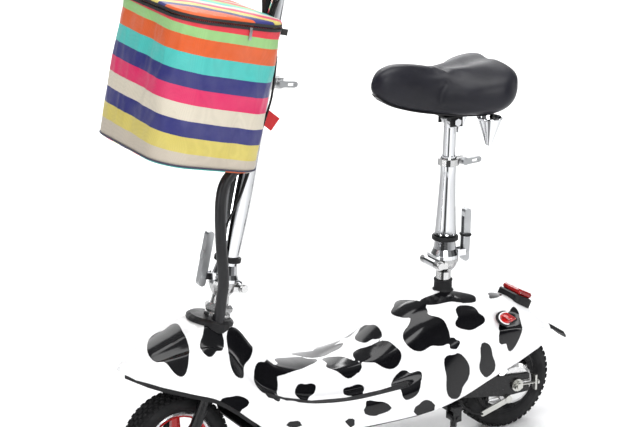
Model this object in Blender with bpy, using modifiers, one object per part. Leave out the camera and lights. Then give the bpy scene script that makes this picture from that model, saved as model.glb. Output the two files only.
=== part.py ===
"""Electric motor scooter with a seat, a moulded shell and a striped front basket.

Metres, +Z up. The scooter points towards -X, its left side is -Y, and the origin is on
the ground below the middle of its length. Lengths along the scooter are counted from the
rear axle, and everything above the fork is counted along the leaning steering axis.
"""
import math

import bmesh
import bpy
from mathutils import Matrix, Vector

# Clearances and mesh limits
GAP = 0.0003
RUNNING_GAP = 0.0005
TWIST = 5e-6

# Wheels
TYRE_RADIUS = 0.100
TYRE_HALF_WIDTH = 0.025
TREAD_HALF_WIDTH = 0.014
TYRE_STEPS = 32
RIM_RADIUS = 0.064
RIM_HALF_WIDTH = 0.0185
SPOKE_COUNT = 5
HUB_HALF_WIDTH = 0.026
HUB_OUTER_RADIUS = 0.019
DRUM_RADIUS = 0.0335
DRUM_OUTER_Y = 0.0345
AXLE_RADIUS = 0.006
WHEELBASE = 0.700
AXLE_Z = TYRE_RADIUS * math.cos(math.pi / TYRE_STEPS)

# Where things stand along the scooter, counted from the rear axle, forward is negative
FRONT_AXLE_X = -WHEELBASE
HEAD_X = FRONT_AXLE_X + 0.088
HEAD_Z = 0.332
STEERING_LEAN = math.radians(12.2)
SEAT_X = -0.134
SEAT_Z = 0.306
SEAT_LEAN = math.radians(1.8)

# Shell. Each row is one cross-section: its place, crown height, then the half width and height
# of the top edge, of the wall's foot, of the ledge's outer edge and of the lower rim. The hood's
# places are counted from the front axle and the hump's from the rear one.
HOOD_ROWS = (
    (-0.106, 0.269, 0.006, 0.2675, 0.009, 0.265, 0.011, 0.262, 0.012, 0.2590),
    (-0.092, 0.277, 0.015, 0.2745, 0.024, 0.269, 0.032, 0.261, 0.036, 0.2530),
    (-0.055, 0.295, 0.027, 0.2915, 0.046, 0.278, 0.062, 0.259, 0.069, 0.2430),
    (-0.010, 0.314, 0.034, 0.3100, 0.060, 0.287, 0.082, 0.255, 0.092, 0.2300),
    (0.032, 0.330, 0.037, 0.3260, 0.066, 0.292, 0.092, 0.249, 0.105, 0.2160),
    (0.070, 0.327, 0.039, 0.3230, 0.067, 0.278, 0.096, 0.230, 0.112, 0.1900),
    (0.108, 0.316, 0.041, 0.3100, 0.067, 0.238, 0.100, 0.204, 0.115, 0.1580),
    (0.138, 0.278, 0.046, 0.2700, 0.070, 0.206, 0.106, 0.188, 0.116, 0.1340),
    (0.175, 0.243, 0.054, 0.2340, 0.075, 0.186, 0.112, 0.177, 0.117, 0.1220),
    (0.230, 0.224, 0.060, 0.2140, 0.078, 0.168, 0.116, 0.165, 0.119, 0.1150),
)
DECK_ROW = (0.214, 0.062, 0.2040, 0.079, 0.160, 0.117, 0.157, 0.119, 0.1110)
HUMP_ROWS = (
    (-0.325, 0.226, 0.062, 0.2080, 0.079, 0.161, 0.115, 0.156, 0.116, 0.1080),
    (-0.270, 0.260, 0.064, 0.2260, 0.084, 0.170, 0.108, 0.157, 0.111, 0.1060),
    (-0.215, 0.290, 0.066, 0.2560, 0.091, 0.190, 0.101, 0.160, 0.105, 0.1060),
    (-0.150, 0.300, 0.067, 0.2720, 0.092, 0.218, 0.098, 0.176, 0.099, 0.1170),
    (-0.080, 0.291, 0.065, 0.2660, 0.087, 0.222, 0.091, 0.184, 0.091, 0.1380),
    (-0.010, 0.270, 0.059, 0.2500, 0.077, 0.218, 0.079, 0.190, 0.078, 0.1540),
    (0.045, 0.241, 0.049, 0.2260, 0.062, 0.206, 0.064, 0.189, 0.063, 0.1670),
    (0.088, 0.208, 0.036, 0.1990, 0.044, 0.191, 0.045, 0.184, 0.045, 0.1760),
)
SHELL_FRONT_ROWS = tuple((row[0] + FRONT_AXLE_X,) + row[1:] for row in HOOD_ROWS)
DECK_MIDDLE = (SHELL_FRONT_ROWS[-1][0] + HUMP_ROWS[0][0]) / 2
SHELL_ROWS = SHELL_FRONT_ROWS + ((DECK_MIDDLE,) + DECK_ROW,) + HUMP_ROWS
SHELL_WALL = 0.003
SHELL_STEPS = 2
SHELL_HOLE_GAP = 0.0012
NOSE_X = SHELL_ROWS[0][0]
SHELL_REAR_X = SHELL_ROWS[-1][0]
DECK_FRONT = FRONT_AXLE_X + 0.170
DECK_REAR = HUMP_ROWS[0][0] + 0.005

# Pieces on the shell
PAN_FRONT = FRONT_AXLE_X + 0.138
PAN_REAR = -0.200
PAN_FLOOR_DROP = 0.011
PAN_SIDE_GAP = 0.0016
PAN_SECTIONS = 9
FENDER_FRONT = FRONT_AXLE_X - 0.090
FENDER_REAR = FRONT_AXLE_X + 0.120
FENDER_NOSE_X = FRONT_AXLE_X - 0.0965
FENDER_LIP = 0.010
FENDER_INWARD = 0.022
STRIP_FRONT = FRONT_AXLE_X + 0.136
STRIP_REAR = -0.269
STRIP_HALF_WIDTH = 0.009
STRIP_LIFT = 0.0008
STRIP_TOP = 0.0032
FLAP_FRONT = (SHELL_REAR_X + 0.0006, 0.1880)
FLAP_TIP = (0.145, 0.1560)
TAIL_LAMP_X = 0.031
TAIL_LAMP_Z = 0.2560
TAIL_LAMP_TILT = math.radians(27)
MARKER_X = -0.040
MARKER_Y = 0.0745
MARKER_Z = 0.2455
MARKER_FACE = 27
REAR_AXLE_X = -(NOSE_X + FLAP_TIP[0]) / 2

# Ladder frame
RAIL_Y = 0.045
RAIL_FRONT = FRONT_AXLE_X + 0.155
RAIL_REAR = -0.162
RAIL_Z = 0.1165
RAIL_WIDTH = 0.018
RAIL_HEIGHT = 0.024
RAIL_TOP = RAIL_Z + RAIL_HEIGHT / 2
BAR_FRONT_X = RAIL_FRONT + 0.016
BAR_REAR_X = RAIL_REAR - 0.016
DOWN_TUBE_FOOT_X = RAIL_FRONT + 0.013
DOWN_TUBE_RADIUS = 0.0145
MAST_RADIUS = 0.0165
DROPOUT_Y = 0.0555
DROPOUT_THICKNESS = 0.005
AXLE_SLOT = 0.0066
DROPOUT_OUTLINE = ((-0.190, 0.106), (-0.190, 0.127), (-0.100, 0.134), (-0.030, 0.122), (0.030, 0.117),
                   (0.030, 0.082), (-0.020, 0.080), (-0.100, 0.092))
KICKSTAND_PIVOT = (-0.168, -0.098, 0.082)
KICKSTAND_FOOT = (-0.184, -0.150)
KICKSTAND_PIN_RADIUS = 0.004
KICKSTAND_BORE = 0.0045

# Drive
CHAIN_Y = 0.0405
CHAIN_THICKNESS = 0.0045
CHAIN_WIDTH = 0.006
PINION_X = -0.194
PINION_Z = 0.165
PINION_RADIUS = 0.0105
PINION_TEETH = 7
SPROCKET_RADIUS = 0.039
SPROCKET_TEETH = 26
TOOTH_DEPTH = 0.0022
SPROCKET_THICKNESS = 0.004
MOTOR_RADIUS = 0.029
MOTOR_HALF_LENGTH = 0.034
MOTOR_AXIS_RADIUS = 0.004
MOTOR_FOOT_Z = RAIL_TOP + GAP
CONTROLLER_X = -0.260
CONTROLLER_LENGTH = 0.062
CONTROLLER_WIDTH = 0.084
CONTROLLER_HEIGHT = 0.034
BATTERY_FRONT = RAIL_FRONT + 0.0325
BATTERY_REAR = CONTROLLER_X - CONTROLLER_LENGTH / 2 - 0.0065
BATTERY_WIDTH = 0.112
BATTERY_HEIGHT = 0.060

# Rear brake
BRAKE_COVER_RADIUS = 0.0405
BRAKE_ARM_PIVOT = (-0.020, -0.0582, 0.0745)
BRAKE_ARM_END = (-0.078, 0.0565)
BRAKE_ARM_DROP = 0.0035
BRAKE_SHAFT_RADIUS = 0.0030
BRAKE_CABLE_RADIUS = 0.0022

# Steering column, heights along the steering axis from the head point
CROWN_BOTTOM = -0.127
CROWN_TOP = -0.113
FORK_LEG_Y = 0.0425
FORK_END_Y = 0.0530
HEAD_TUBE_BOTTOM = -0.1035
HEAD_TUBE_TOP = -0.022
HEAD_TUBE_RADIUS = 0.021
HEAD_TUBE_BORE = 0.0165
STEERER_RADIUS = 0.0145
COLLAR_TOP = 0.006
COLLAR_RADIUS = 0.0235
CAP_TOP = -0.0008
CAP_BOTTOM = -0.0250
CAP_SEAT_GAP = 0.0022
CAP_X = -0.014
CAP_HALF_LENGTH = 0.0425
CAP_HALF_WIDTH = 0.0470
CAP_HOLE_RADIUS = 0.028
NUT_TOP = 0.022
NUT_RADIUS = 0.0265

# Fold joints
PIN_RADIUS = 0.004
PIN_BORE = 0.0045
KNUCKLE_RADIUS = 0.009
BARREL_HALF = 0.017
TABLE_RADIUS = 0.0262
NOTCH_GAP = 0.0011
LATCH_TAIL = 0.012
STEM_HINGE_BACK = 0.0275
STEM_HINGE_UP = 0.057
STEM_JOINT_UP = 0.064
STEM_NECK_RADIUS = 0.0155
STEM_LATCH_X = -0.0455
STEM_LATCH_UP = 0.070
STEM_LATCH_LENGTH = 0.076
SEAT_BASE_BOTTOM = -0.010
SEAT_HINGE_FRONT = 0.0265
SEAT_HINGE_UP = 0.049
SEAT_JOINT_UP = 0.056
SEAT_NECK_RADIUS = 0.0140
SEAT_LATCH_X = 0.0455
SEAT_LATCH_UP = SEAT_JOINT_UP + 0.006
SEAT_LATCH_LENGTH = 0.078
NECK_FLARE = 0.001
BOOT_TOP = 0.014
BOOT_BOTTOM = -0.006

# Stem
STEM_TUBE_RADIUS = 0.0215
STEM_FOOT_RADIUS = 0.0185
STEM_TUBE_TOP = 0.424
INNER_TUBE_RADIUS = 0.0160
INNER_TUBE_BOTTOM = 0.235
TUBE_WALL = 0.0022
CLAMP_UP = STEM_TUBE_TOP + 0.004
CLAMP_HEIGHT = 0.022
CLAMP_RADIUS = 0.0270
CLAMP_BOLT_OUT = 0.0070
CLAMP_LEVER_REACH = 0.026

# Basket, counted from the steering axis
BASKET_MIDDLE = -0.140
BASKET_HALF_LENGTH = 0.105
BASKET_HALF_WIDTH = 0.140
BASKET_CORNER = 0.060
BASKET_BOTTOM = 0.288
BASKET_HEIGHT = 0.252
BASKET_WALL = 0.0045
BASKET_FLOOR = 0.006
LID_RISE = 0.016
HOOK_UP = BASKET_BOTTOM + BASKET_HEIGHT - 0.020
HOOK_HALF_HEIGHT = 0.010

# Handlebar and its controls
BAR_UP = 0.660
BAR_HALF_WIDTH = 0.270
BAR_RADIUS = 0.011
BAR_SLEEVE_RADIUS = 0.0150
GRIP_LENGTH = 0.112
GRIP_RADIUS = 0.0158
GRIP_RIBS = 3
PERCH_HALF = 0.010
PERCH_Y = BAR_HALF_WIDTH - GRIP_LENGTH - 2 * PERCH_HALF
LEVER_PIVOT_X = -0.0300
LEVER_PIN_X = LEVER_PIVOT_X - 0.001
LEVER_PIN_RADIUS = 0.0022
LEVER_UP = BAR_UP - 0.006
BUTTON_X = -0.001
BUTTON_Y = PERCH_Y - 0.018
BUTTON_RADIUS = 0.0042
BUTTON_LOW = BAR_UP + 0.0155
HEADLIGHT_X = -0.022
HEADLIGHT_UP = BAR_UP + 0.047
HEADLIGHT_RADIUS = 0.0300

# Cables, in the steering column's coordinates
CABLE_RADIUS = 0.0100
THIN_CABLE_RADIUS = 0.0021
CABLE_ENTRY = (-0.015, -0.0340)
CABLE_ROUTE = (
    (*CABLE_ENTRY, -0.022), (*CABLE_ENTRY, 0.002), (CABLE_ENTRY[0] - 0.001, -0.0345, 0.018),
    (-0.019, -0.0370, 0.038), (-0.024, -0.0420, 0.075),
    (-0.040, -0.0395, 0.140), (-0.050, -0.0360, 0.200), (-0.047, -0.0340, 0.245),
    (-0.026, -0.0370, 0.290), (-0.008, -0.0420, 0.350), (-0.004, -0.0450, 0.430),
    (-0.002, -0.0450, 0.520), (0.000, -0.0480, 0.590), (0.004, -0.0560, 0.632))
THIN_CABLE_ROUTE = (
    (-0.042, -0.0360, 0.150), (-0.030, -0.0330, 0.185), (-0.014, -0.0290, 0.230),
    (-0.004, -0.0282, 0.285), (0.004, -0.0285, 0.350), (0.010, -0.0300, 0.400),
    (0.006, -0.0340, 0.440), (-0.001, -0.0400, 0.480))

# Seat, heights along the seat post from its foot point
SEAT_TUBE_FOOT_RADIUS = 0.0205
SEAT_TUBE_TOP_RADIUS = 0.0148
SEAT_TUBE_TOP = 0.231
SEAT_CLAMP_UP = 0.242
SEAT_CLAMP_HEIGHT = 0.014
SEAT_CLAMP_RADIUS = 0.0205
SEAT_CLAMP_LEVER_REACH = 0.028
SEAT_POST_RADIUS = 0.0120
SEAT_POST_BOTTOM = 0.160
SEAT_POST_TOP = 0.326
CLAMP_HEAD_UP = 0.3215
HEAD_HALF = 0.0175
CLAMP_BOLT_RADIUS = 0.004
SADDLE_NOSE_X = -0.170
SADDLE_UP = 0.396
PAN_DEPTH = 0.011
CONE_X = 0.052
CONE_Y = 0.052
CONE_TOP = 0.334
CONE_TIP = 0.278
# Each row of the saddle: place, half width, top height, side height and underside height.
SADDLE_ROWS = (
    (0.000, 0.009, 0.020, 0.008, -0.004), (0.014, 0.022, 0.037, 0.006, -0.018),
    (0.040, 0.027, 0.045, 0.000, -0.030), (0.080, 0.031, 0.043, -0.006, -0.038),
    (0.120, 0.042, 0.034, -0.012, -0.042), (0.155, 0.064, 0.030, -0.014, -0.045),
    (0.190, 0.091, 0.031, -0.012, -0.047), (0.222, 0.105, 0.036, -0.008, -0.045),
    (0.248, 0.099, 0.039, -0.002, -0.036), (0.264, 0.078, 0.034, 0.006, -0.020),
    (0.270, 0.048, 0.026, 0.010, -0.006))

PARTS = "electric_scooter"


def clear_scene():
    """Remove every object that the file opened with."""
    for item in list(bpy.data.objects):
        bpy.data.objects.remove(item, do_unlink=True)


def part_collection():
    """Return the collection that holds the scooter, made on first use."""
    found = bpy.data.collections.get(PARTS)
    if found is None:
        found = bpy.data.collections.new(PARTS)
        bpy.context.scene.collection.children.link(found)
    return found


def finish(name, colour, roughness, metallic=0.0):
    """Return a Principled material."""
    material = bpy.data.materials.get(name) or bpy.data.materials.new(name)
    material.use_nodes = True
    shader = material.node_tree.nodes["Principled BSDF"]
    shader.inputs["Base Color"].default_value = (*colour, 1.0)
    shader.inputs["Roughness"].default_value = roughness
    shader.inputs["Metallic"].default_value = metallic
    return material


def chrome():
    return finish("chrome", (0.80, 0.81, 0.82), 0.12, 1.0)


def cast_metal():
    return finish("cast_metal", (0.62, 0.63, 0.64), 0.35, 1.0)


def black_paint():
    return finish("black_paint", (0.02, 0.02, 0.022), 0.35)


def black_plastic():
    return finish("black_plastic", (0.022, 0.022, 0.024), 0.5)


def rubber():
    return finish("rubber", (0.018, 0.018, 0.019), 0.8)


def white_plastic():
    return finish("white_plastic", (0.86, 0.86, 0.85), 0.25)


def red_lens():
    return finish("red_lens", (0.70, 0.02, 0.02), 0.15)


def clear_lens():
    return finish("clear_lens", (0.85, 0.88, 0.90), 0.1)


def fabric():
    return finish("fabric", (0.80, 0.30, 0.25), 0.8)


def leather():
    return finish("leather", (0.020, 0.020, 0.024), 0.38)


def red_paint():
    return finish("red_paint", (0.55, 0.02, 0.02), 0.3)


def zinc():
    return finish("zinc", (0.55, 0.55, 0.53), 0.4, 1.0)


# Mesh helpers

def face_outward(shape):
    """Turn every face of a closed bmesh outward."""
    bmesh.ops.recalc_face_normals(shape, faces=shape.faces)
    if shape.calc_volume(signed=True) < 0:
        bmesh.ops.reverse_faces(shape, faces=shape.faces)


def add_mesh(name, shape):
    """Turn a bmesh into an object in the scooter's collection."""
    face_outward(shape)
    mesh = bpy.data.meshes.new(name)
    shape.to_mesh(mesh)
    shape.free()
    made = bpy.data.objects.new(name, mesh)
    part_collection().objects.link(made)
    return made


def rod(start, end, radius, steps=12, end_radius=None, turn=0.0):
    """Return a round bar, or a cone, between two points."""
    start = Vector(start)
    end = Vector(end)
    shape = bmesh.new()
    bmesh.ops.create_cone(shape, cap_ends=True, segments=steps, radius1=radius,
                          radius2=radius if end_radius is None else end_radius,
                          depth=(end - start).length)
    turned_about = Matrix.Rotation(turn, 4, "Z")
    along = (end - start).to_track_quat("Z", "Y").to_matrix().to_4x4()
    shape.transform(Matrix.Translation((start + end) / 2) @ along @ turned_about)
    return add_mesh("rod", shape)


def block(centre, size, bevel=0.0, turn=(0.0, 0.0, 0.0)):
    """Return a box with its edges bevelled, turned about its own middle."""
    shape = bmesh.new()
    bmesh.ops.create_cube(shape, size=1.0)
    shape.transform(Matrix.Diagonal((*size, 1.0)))
    if bevel > 0:
        bmesh.ops.bevel(shape, geom=shape.edges[:], offset=bevel, segments=1, affect="EDGES")
    spin = (Matrix.Rotation(turn[2], 4, "Z") @ Matrix.Rotation(turn[1], 4, "Y")
            @ Matrix.Rotation(turn[0], 4, "X"))
    shape.transform(Matrix.Translation(centre) @ spin)
    return add_mesh("block", shape)


def ball(centre, radius, steps=12):
    """Return a round ball."""
    shape = bmesh.new()
    bmesh.ops.create_uvsphere(shape, u_segments=steps, v_segments=steps // 2, radius=radius)
    shape.transform(Matrix.Translation(centre))
    return add_mesh("ball", shape)


def baked(item):
    """Apply an object's modifiers, or turn a curve into a mesh, and return the mesh object."""
    bpy.context.view_layer.update()
    evaluated = item.evaluated_get(bpy.context.evaluated_depsgraph_get())
    mesh = bpy.data.meshes.new_from_object(evaluated)
    shape = bmesh.new()
    shape.from_mesh(mesh)
    bmesh.ops.remove_doubles(shape, verts=shape.verts, dist=1e-6)
    face_outward(shape)
    shape.to_mesh(mesh)
    shape.free()
    made = bpy.data.objects.new(item.name, mesh)
    made.matrix_world = item.matrix_world.copy()
    part_collection().objects.link(made)
    bpy.data.objects.remove(item, do_unlink=True)
    return made


def turned(profile, steps=32, along="Z", at=(0.0, 0.0, 0.0)):
    """Return a turned solid from (radius, height) points that run down its outer side.

    The profile starts and ends on the axis for a solid, or closes on itself for a ring.
    """
    mesh = bpy.data.meshes.new("profile")
    points = [(radius, 0.0, height) for radius, height in profile]
    closed = profile[0][0] > 0 or profile[-1][0] > 0
    edges = [(i, i + 1) for i in range(len(points) - 1)]
    if closed:
        edges.append((len(points) - 1, 0))
    mesh.from_pydata(points, edges, [])
    item = bpy.data.objects.new("turned", mesh)
    part_collection().objects.link(item)
    screw = item.modifiers.new("Screw", "SCREW")
    screw.steps = steps
    screw.render_steps = steps
    screw.use_merge_vertices = True
    screw.merge_threshold = 0.00005
    screw.use_smooth_shade = True
    made = baked(item)
    turn = {"Z": Matrix.Identity(4), "Y": Matrix.Rotation(math.radians(-90), 4, "X"),
            "X": Matrix.Rotation(math.radians(90), 4, "Y")}[along]
    made.data.transform(Matrix.Translation(at) @ turn)
    return made


def ring(outer, inner, bottom, top, steps=32, along="Z", at=(0.0, 0.0, 0.0), chamfer=0.0):
    """Return a plain ring or sleeve with its outer corners broken."""
    profile = [(inner, top), (outer - chamfer, top)]
    if chamfer > 0:
        profile += [(outer, top - chamfer), (outer, bottom + chamfer)]
    else:
        profile += [(outer, bottom)]
    if chamfer > 0:
        profile += [(outer - chamfer, bottom)]
    profile += [(inner, bottom)]
    return turned(profile, steps, along, at)


def bent_tube(points, radius, sides=3, smooth=True, handles=None):
    """Return a round tube along points, as a bevelled curve with filled caps."""
    curve = bpy.data.curves.new("tube", "CURVE")
    curve.dimensions = "3D"
    curve.bevel_depth = radius
    curve.bevel_resolution = sides
    curve.use_fill_caps = True
    path = smooth_path(points, handles or 4) if smooth else [Vector(p) for p in points]
    line = curve.splines.new("POLY")
    line.points.add(len(path) - 1)
    for spot, point in zip(line.points, path):
        spot.co = (*point, 1.0)
    item = bpy.data.objects.new("tube", curve)
    part_collection().objects.link(item)
    return baked(item)


def smooth_path(points, between):
    """Return points on a Catmull-Rom curve through the given ones."""
    points = [Vector(p) for p in points]
    ends = [2 * points[0] - points[1]] + points + [2 * points[-1] - points[-2]]
    path = []
    for a, b, c, d in zip(ends, ends[1:], ends[2:], ends[3:]):
        for step in range(between):
            t = step / between
            path.append(0.5 * ((2 * b) + (c - a) * t + (2 * a - 5 * b + 4 * c - d) * t ** 2
                               + (3 * b - a - 3 * c + d) * t ** 3))
    path.append(points[-1])
    return path


def plate(outline, thickness, plane="XZ", middle=0.0, bevel=0.0):
    """Return a flat outline given thickness: plane XZ is a side view, XY a plan."""
    curve = bpy.data.curves.new("plate", "CURVE")
    curve.dimensions = "2D"
    curve.fill_mode = "BOTH"
    curve.extrude = thickness / 2 - bevel
    curve.bevel_depth = bevel
    curve.bevel_resolution = 0
    curve.offset = -bevel
    line = curve.splines.new("POLY")
    line.points.add(len(outline) - 1)
    line.use_cyclic_u = True
    for spot, (u, v) in zip(line.points, outline):
        spot.co = (u, v, 0.0, 1.0)
    item = bpy.data.objects.new("plate", curve)
    part_collection().objects.link(item)
    made = baked(item)
    if plane == "XZ":
        turn = Matrix.Rotation(math.radians(90), 4, "X")
        made.data.transform(Matrix.Translation((0.0, middle, 0.0)) @ turn)
    elif plane == "YZ":
        turn = Matrix.Rotation(math.radians(90), 4, "Z") @ Matrix.Rotation(math.radians(90), 4, "X")
        made.data.transform(Matrix.Translation((middle, 0.0, 0.0)) @ turn)
    else:
        made.data.transform(Matrix.Translation((0.0, 0.0, middle)))
    return made


def rounded_outline(half_length, half_width, corner, steps=5, centre=(0.0, 0.0)):
    """Return a rectangle with round corners as a closed list of points."""
    points = []
    for quarter in range(4):
        across = half_length - corner if quarter in (0, 3) else corner - half_length
        up = half_width - corner if quarter in (0, 1) else corner - half_width
        for step in range(steps + 1):
            angle = math.radians(90 * quarter + 90 * step / steps)
            points.append((centre[0] + across + corner * math.cos(angle),
                           centre[1] + up + corner * math.sin(angle)))
    return points


def slot_outline(start, end, radius, steps=6):
    """Return a long outline with round ends between two points."""
    start = Vector(start)
    end = Vector(end)
    heading = math.atan2(end.y - start.y, end.x - start.x)
    points = []
    for centre, first in ((end, -90), (start, 90)):
        for step in range(steps + 1):
            angle = heading + math.radians(first + 180 * step / steps)
            points.append((centre.x + radius * math.cos(angle), centre.y + radius * math.sin(angle)))
    return points


def loft(sections, cap=True):
    """Return a closed solid through sections with the same number of points."""
    shape = bmesh.new()
    rows = [[shape.verts.new(point) for point in section] for section in sections]
    for low, high in zip(rows, rows[1:]):
        for i in range(len(low)):
            j = (i + 1) % len(low)
            shape.faces.new((low[i], low[j], high[j], high[i]))
    if cap:
        shape.faces.new(rows[0])
        shape.faces.new(rows[-1])
    return add_mesh("loft", shape)


def boolean(base, others, operation):
    """Join or cut base with the others, one at a time, and remove them."""
    for other in others:
        step = base.modifiers.new("Boolean", "BOOLEAN")
        step.operation = operation
        step.solver = "EXACT"
        step.object = other
        base = baked(base)
        bpy.data.objects.remove(other, do_unlink=True)
    return base


def fuse(base, *others):
    return boolean(base, others, "UNION")


def cut(base, *others):
    return boolean(base, others, "DIFFERENCE")


def is_twisted(face):
    """Tell whether a face's corners lie off its plane by more than a hair."""
    middle = face.calc_center_median()
    return any(abs((corner.co - middle).dot(face.normal)) > TWIST for corner in face.verts)


def cleaned(item):
    """Dissolve the slivers and flat extra edges that joins leave, and split twisted faces."""
    shape = bmesh.new()
    shape.from_mesh(item.data)
    bmesh.ops.remove_doubles(shape, verts=shape.verts, dist=2e-6)
    bmesh.ops.dissolve_degenerate(shape, edges=shape.edges, dist=1e-6)
    bmesh.ops.dissolve_limit(shape, angle_limit=math.radians(0.3), verts=shape.verts,
                             edges=shape.edges)
    shape.normal_update()
    bmesh.ops.triangulate(shape, faces=[face for face in shape.faces if is_twisted(face)])
    shape.to_mesh(item.data)
    shape.free()
    return item


# Placing

def frame_at(name, location, lean=0.0, parent=None):
    """Return an empty whose Z runs along a leaning axis."""
    empty = bpy.data.objects.new(name, None)
    part_collection().objects.link(empty)
    empty.parent = parent
    empty.location = location
    empty.rotation_euler = (0.0, lean, 0.0)
    return empty


def pivot(name, frame, at):
    """Return an empty on a joint's axis, given in its frame's own coordinates."""
    empty = frame_at(name, at, 0.0, frame)
    empty["is_pivot"] = True
    return empty


def node(name, item, material, parent, smooth_angle=35.0):
    """Name a finished piece, give it its material and hang it on its pivot."""
    item = cleaned(item)
    item.name = name
    item.data.name = name
    item.data.materials.clear()
    item.data.materials.append(material)
    item.data.shade_smooth()
    item.data.set_sharp_from_angle(angle=math.radians(smooth_angle))
    item.parent = parent
    item.location = [-v for v in parent.location] if parent.get("is_pivot") else (0.0, 0.0, 0.0)
    return item


# Body shell


def blend_row(before, low, high, after, t):
    """Return the cross-section between two rows on a smooth curve."""
    return tuple(0.5 * ((2 * b) + (c - a) * t + (2 * a - 5 * b + 4 * c - d) * t ** 2
                        + (3 * b - a - 3 * c + d) * t ** 3)
                 for a, b, c, d in zip(before, low, high, after))


def shell_row(x):
    """Return the cross-section's measures at a place along the scooter."""
    rows = (SHELL_ROWS[0],) + SHELL_ROWS + (SHELL_ROWS[-1],)
    for i in range(1, len(rows) - 2):
        if x <= rows[i + 1][0] or i == len(rows) - 3:
            t = (x - rows[i][0]) / (rows[i + 1][0] - rows[i][0])
            return blend_row(rows[i - 1], rows[i], rows[i + 1], rows[i + 2], max(0.0, min(1.0, t)))
    return SHELL_ROWS[-1]


def shell_half(row):
    """Return the half outline of a cross-section from the crown down to the rim."""
    x, crown, top_w, top_z, foot_w, foot_z, ledge_w, ledge_z, rim_w, rim_z = row
    drop = crown - top_z
    return [(x, 0.0, crown), (x, 0.42 * top_w, crown - 0.12 * drop),
            (x, 0.78 * top_w, crown - 0.5 * drop), (x, top_w, top_z),
            (x, top_w + 0.30 * (foot_w - top_w), top_z + 0.36 * (foot_z - top_z)),
            (x, top_w + 0.66 * (foot_w - top_w), top_z + 0.76 * (foot_z - top_z)),
            (x, foot_w, foot_z), (x, ledge_w, ledge_z), (x, rim_w, rim_z)]


def shell_places():
    """Return where the shell's cross-sections lie."""
    places = []
    for low, high in zip(SHELL_ROWS, SHELL_ROWS[1:]):
        steps = 1 if DECK_FRONT < low[0] and high[0] < DECK_REAR else SHELL_STEPS
        places += [low[0] + (high[0] - low[0]) * step / steps for step in range(steps)]
    return places + [SHELL_ROWS[-1][0]]


def shell_solid(grow):
    """Return the space inside the shell's skin as a solid grown by a little, for seating pieces."""
    sections = []
    for x in shell_places():
        row = shell_row(x)
        half = shell_half(row)
        full = [(px, -py, pz) for px, py, pz in reversed(half[1:])] + half
        middle = Vector((0.0, row[9]))
        section = []
        for px, py, pz in full:
            out = Vector((py, pz)) - middle
            out = out * (1.0 + grow / out.length)
            section.append((px, out.x, middle.y + out.y))
        sections.append(section)
    return loft(sections)


def column_rod(x, y, bottom, top, radius, steps=18):
    """Return a rod along the steering axis, from column coordinates to chassis ones."""
    item = rod((x, y, bottom), (x, y, top), radius, steps)
    head = Matrix.Translation((HEAD_X, 0.0, HEAD_Z))
    item.data.transform(head @ Matrix.Rotation(STEERING_LEAN, 4, "Y"))
    return item


def make_body_shell(chassis):
    """The white moulding: hood over the front wheel, stepped deck and hump over the rear wheel."""
    shape = bmesh.new()
    rows = []
    for x in shell_places():
        half = shell_half(shell_row(x))
        full = [(px, -py, pz) for px, py, pz in reversed(half[1:])] + half
        rows.append([shape.verts.new(point) for point in full])
    for low, high in zip(rows, rows[1:]):
        for i in range(len(low) - 1):
            shape.faces.new((low[i], low[i + 1], high[i + 1], high[i]))
    shape.faces.new(rows[0])
    shape.faces.new(rows[-1])
    outer = add_mesh("shell", shape)
    if outer.data.polygons[len(outer.data.polygons) // 4].normal.z < 0:
        outer.data.flip_normals()
    skin = outer.modifiers.new("Solidify", "SOLIDIFY")
    skin.thickness = SHELL_WALL
    skin.offset = -1
    outer = baked(outer)
    head_hole = column_rod(0.0, 0.0, -0.045, 0.05, CAP_HOLE_RADIUS)
    cable_hole = column_rod(*CABLE_ENTRY, -0.045, 0.05, CABLE_RADIUS + SHELL_HOLE_GAP)
    seat_hole = rod((SEAT_X - 0.002, 0.0, SEAT_Z - 0.046), (SEAT_X, 0.0, SEAT_Z + 0.024),
                    MAST_RADIUS + SHELL_WALL, 16)
    outer = cut(outer, head_hole, cable_hole, seat_hole)
    return node("body_shell", outer, white_plastic(), chassis, 40)


def make_belly_pan(chassis):
    """The black tray that closes the deck from below, tucked inside the shell's rim."""
    sections = []
    for i in range(PAN_SECTIONS):
        x = PAN_FRONT + (PAN_REAR - PAN_FRONT) * i / (PAN_SECTIONS - 1)
        row = shell_row(x)
        w = row[8] - SHELL_WALL - PAN_SIDE_GAP
        top = row[9] + 0.006
        low = min(row[9] - PAN_FLOOR_DROP, RAIL_Z - RAIL_HEIGHT / 2 - SHELL_WALL - GAP)
        outer = [(x, -w, top), (x, -w, row[9] - 0.003), (x, -w + 0.014, low),
                 (x, w - 0.014, low), (x, w, row[9] - 0.003), (x, w, top)]
        skin = w - SHELL_WALL
        floor = low + SHELL_WALL
        inner = [(x, skin, top), (x, skin, row[9] - 0.001), (x, skin - 0.013, floor),
                 (x, 0.013 - skin, floor), (x, -skin, row[9] - 0.001), (x, -skin, top)]
        sections.append(outer + inner)
    return node("belly_pan", loft(sections), black_plastic(), chassis)


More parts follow.
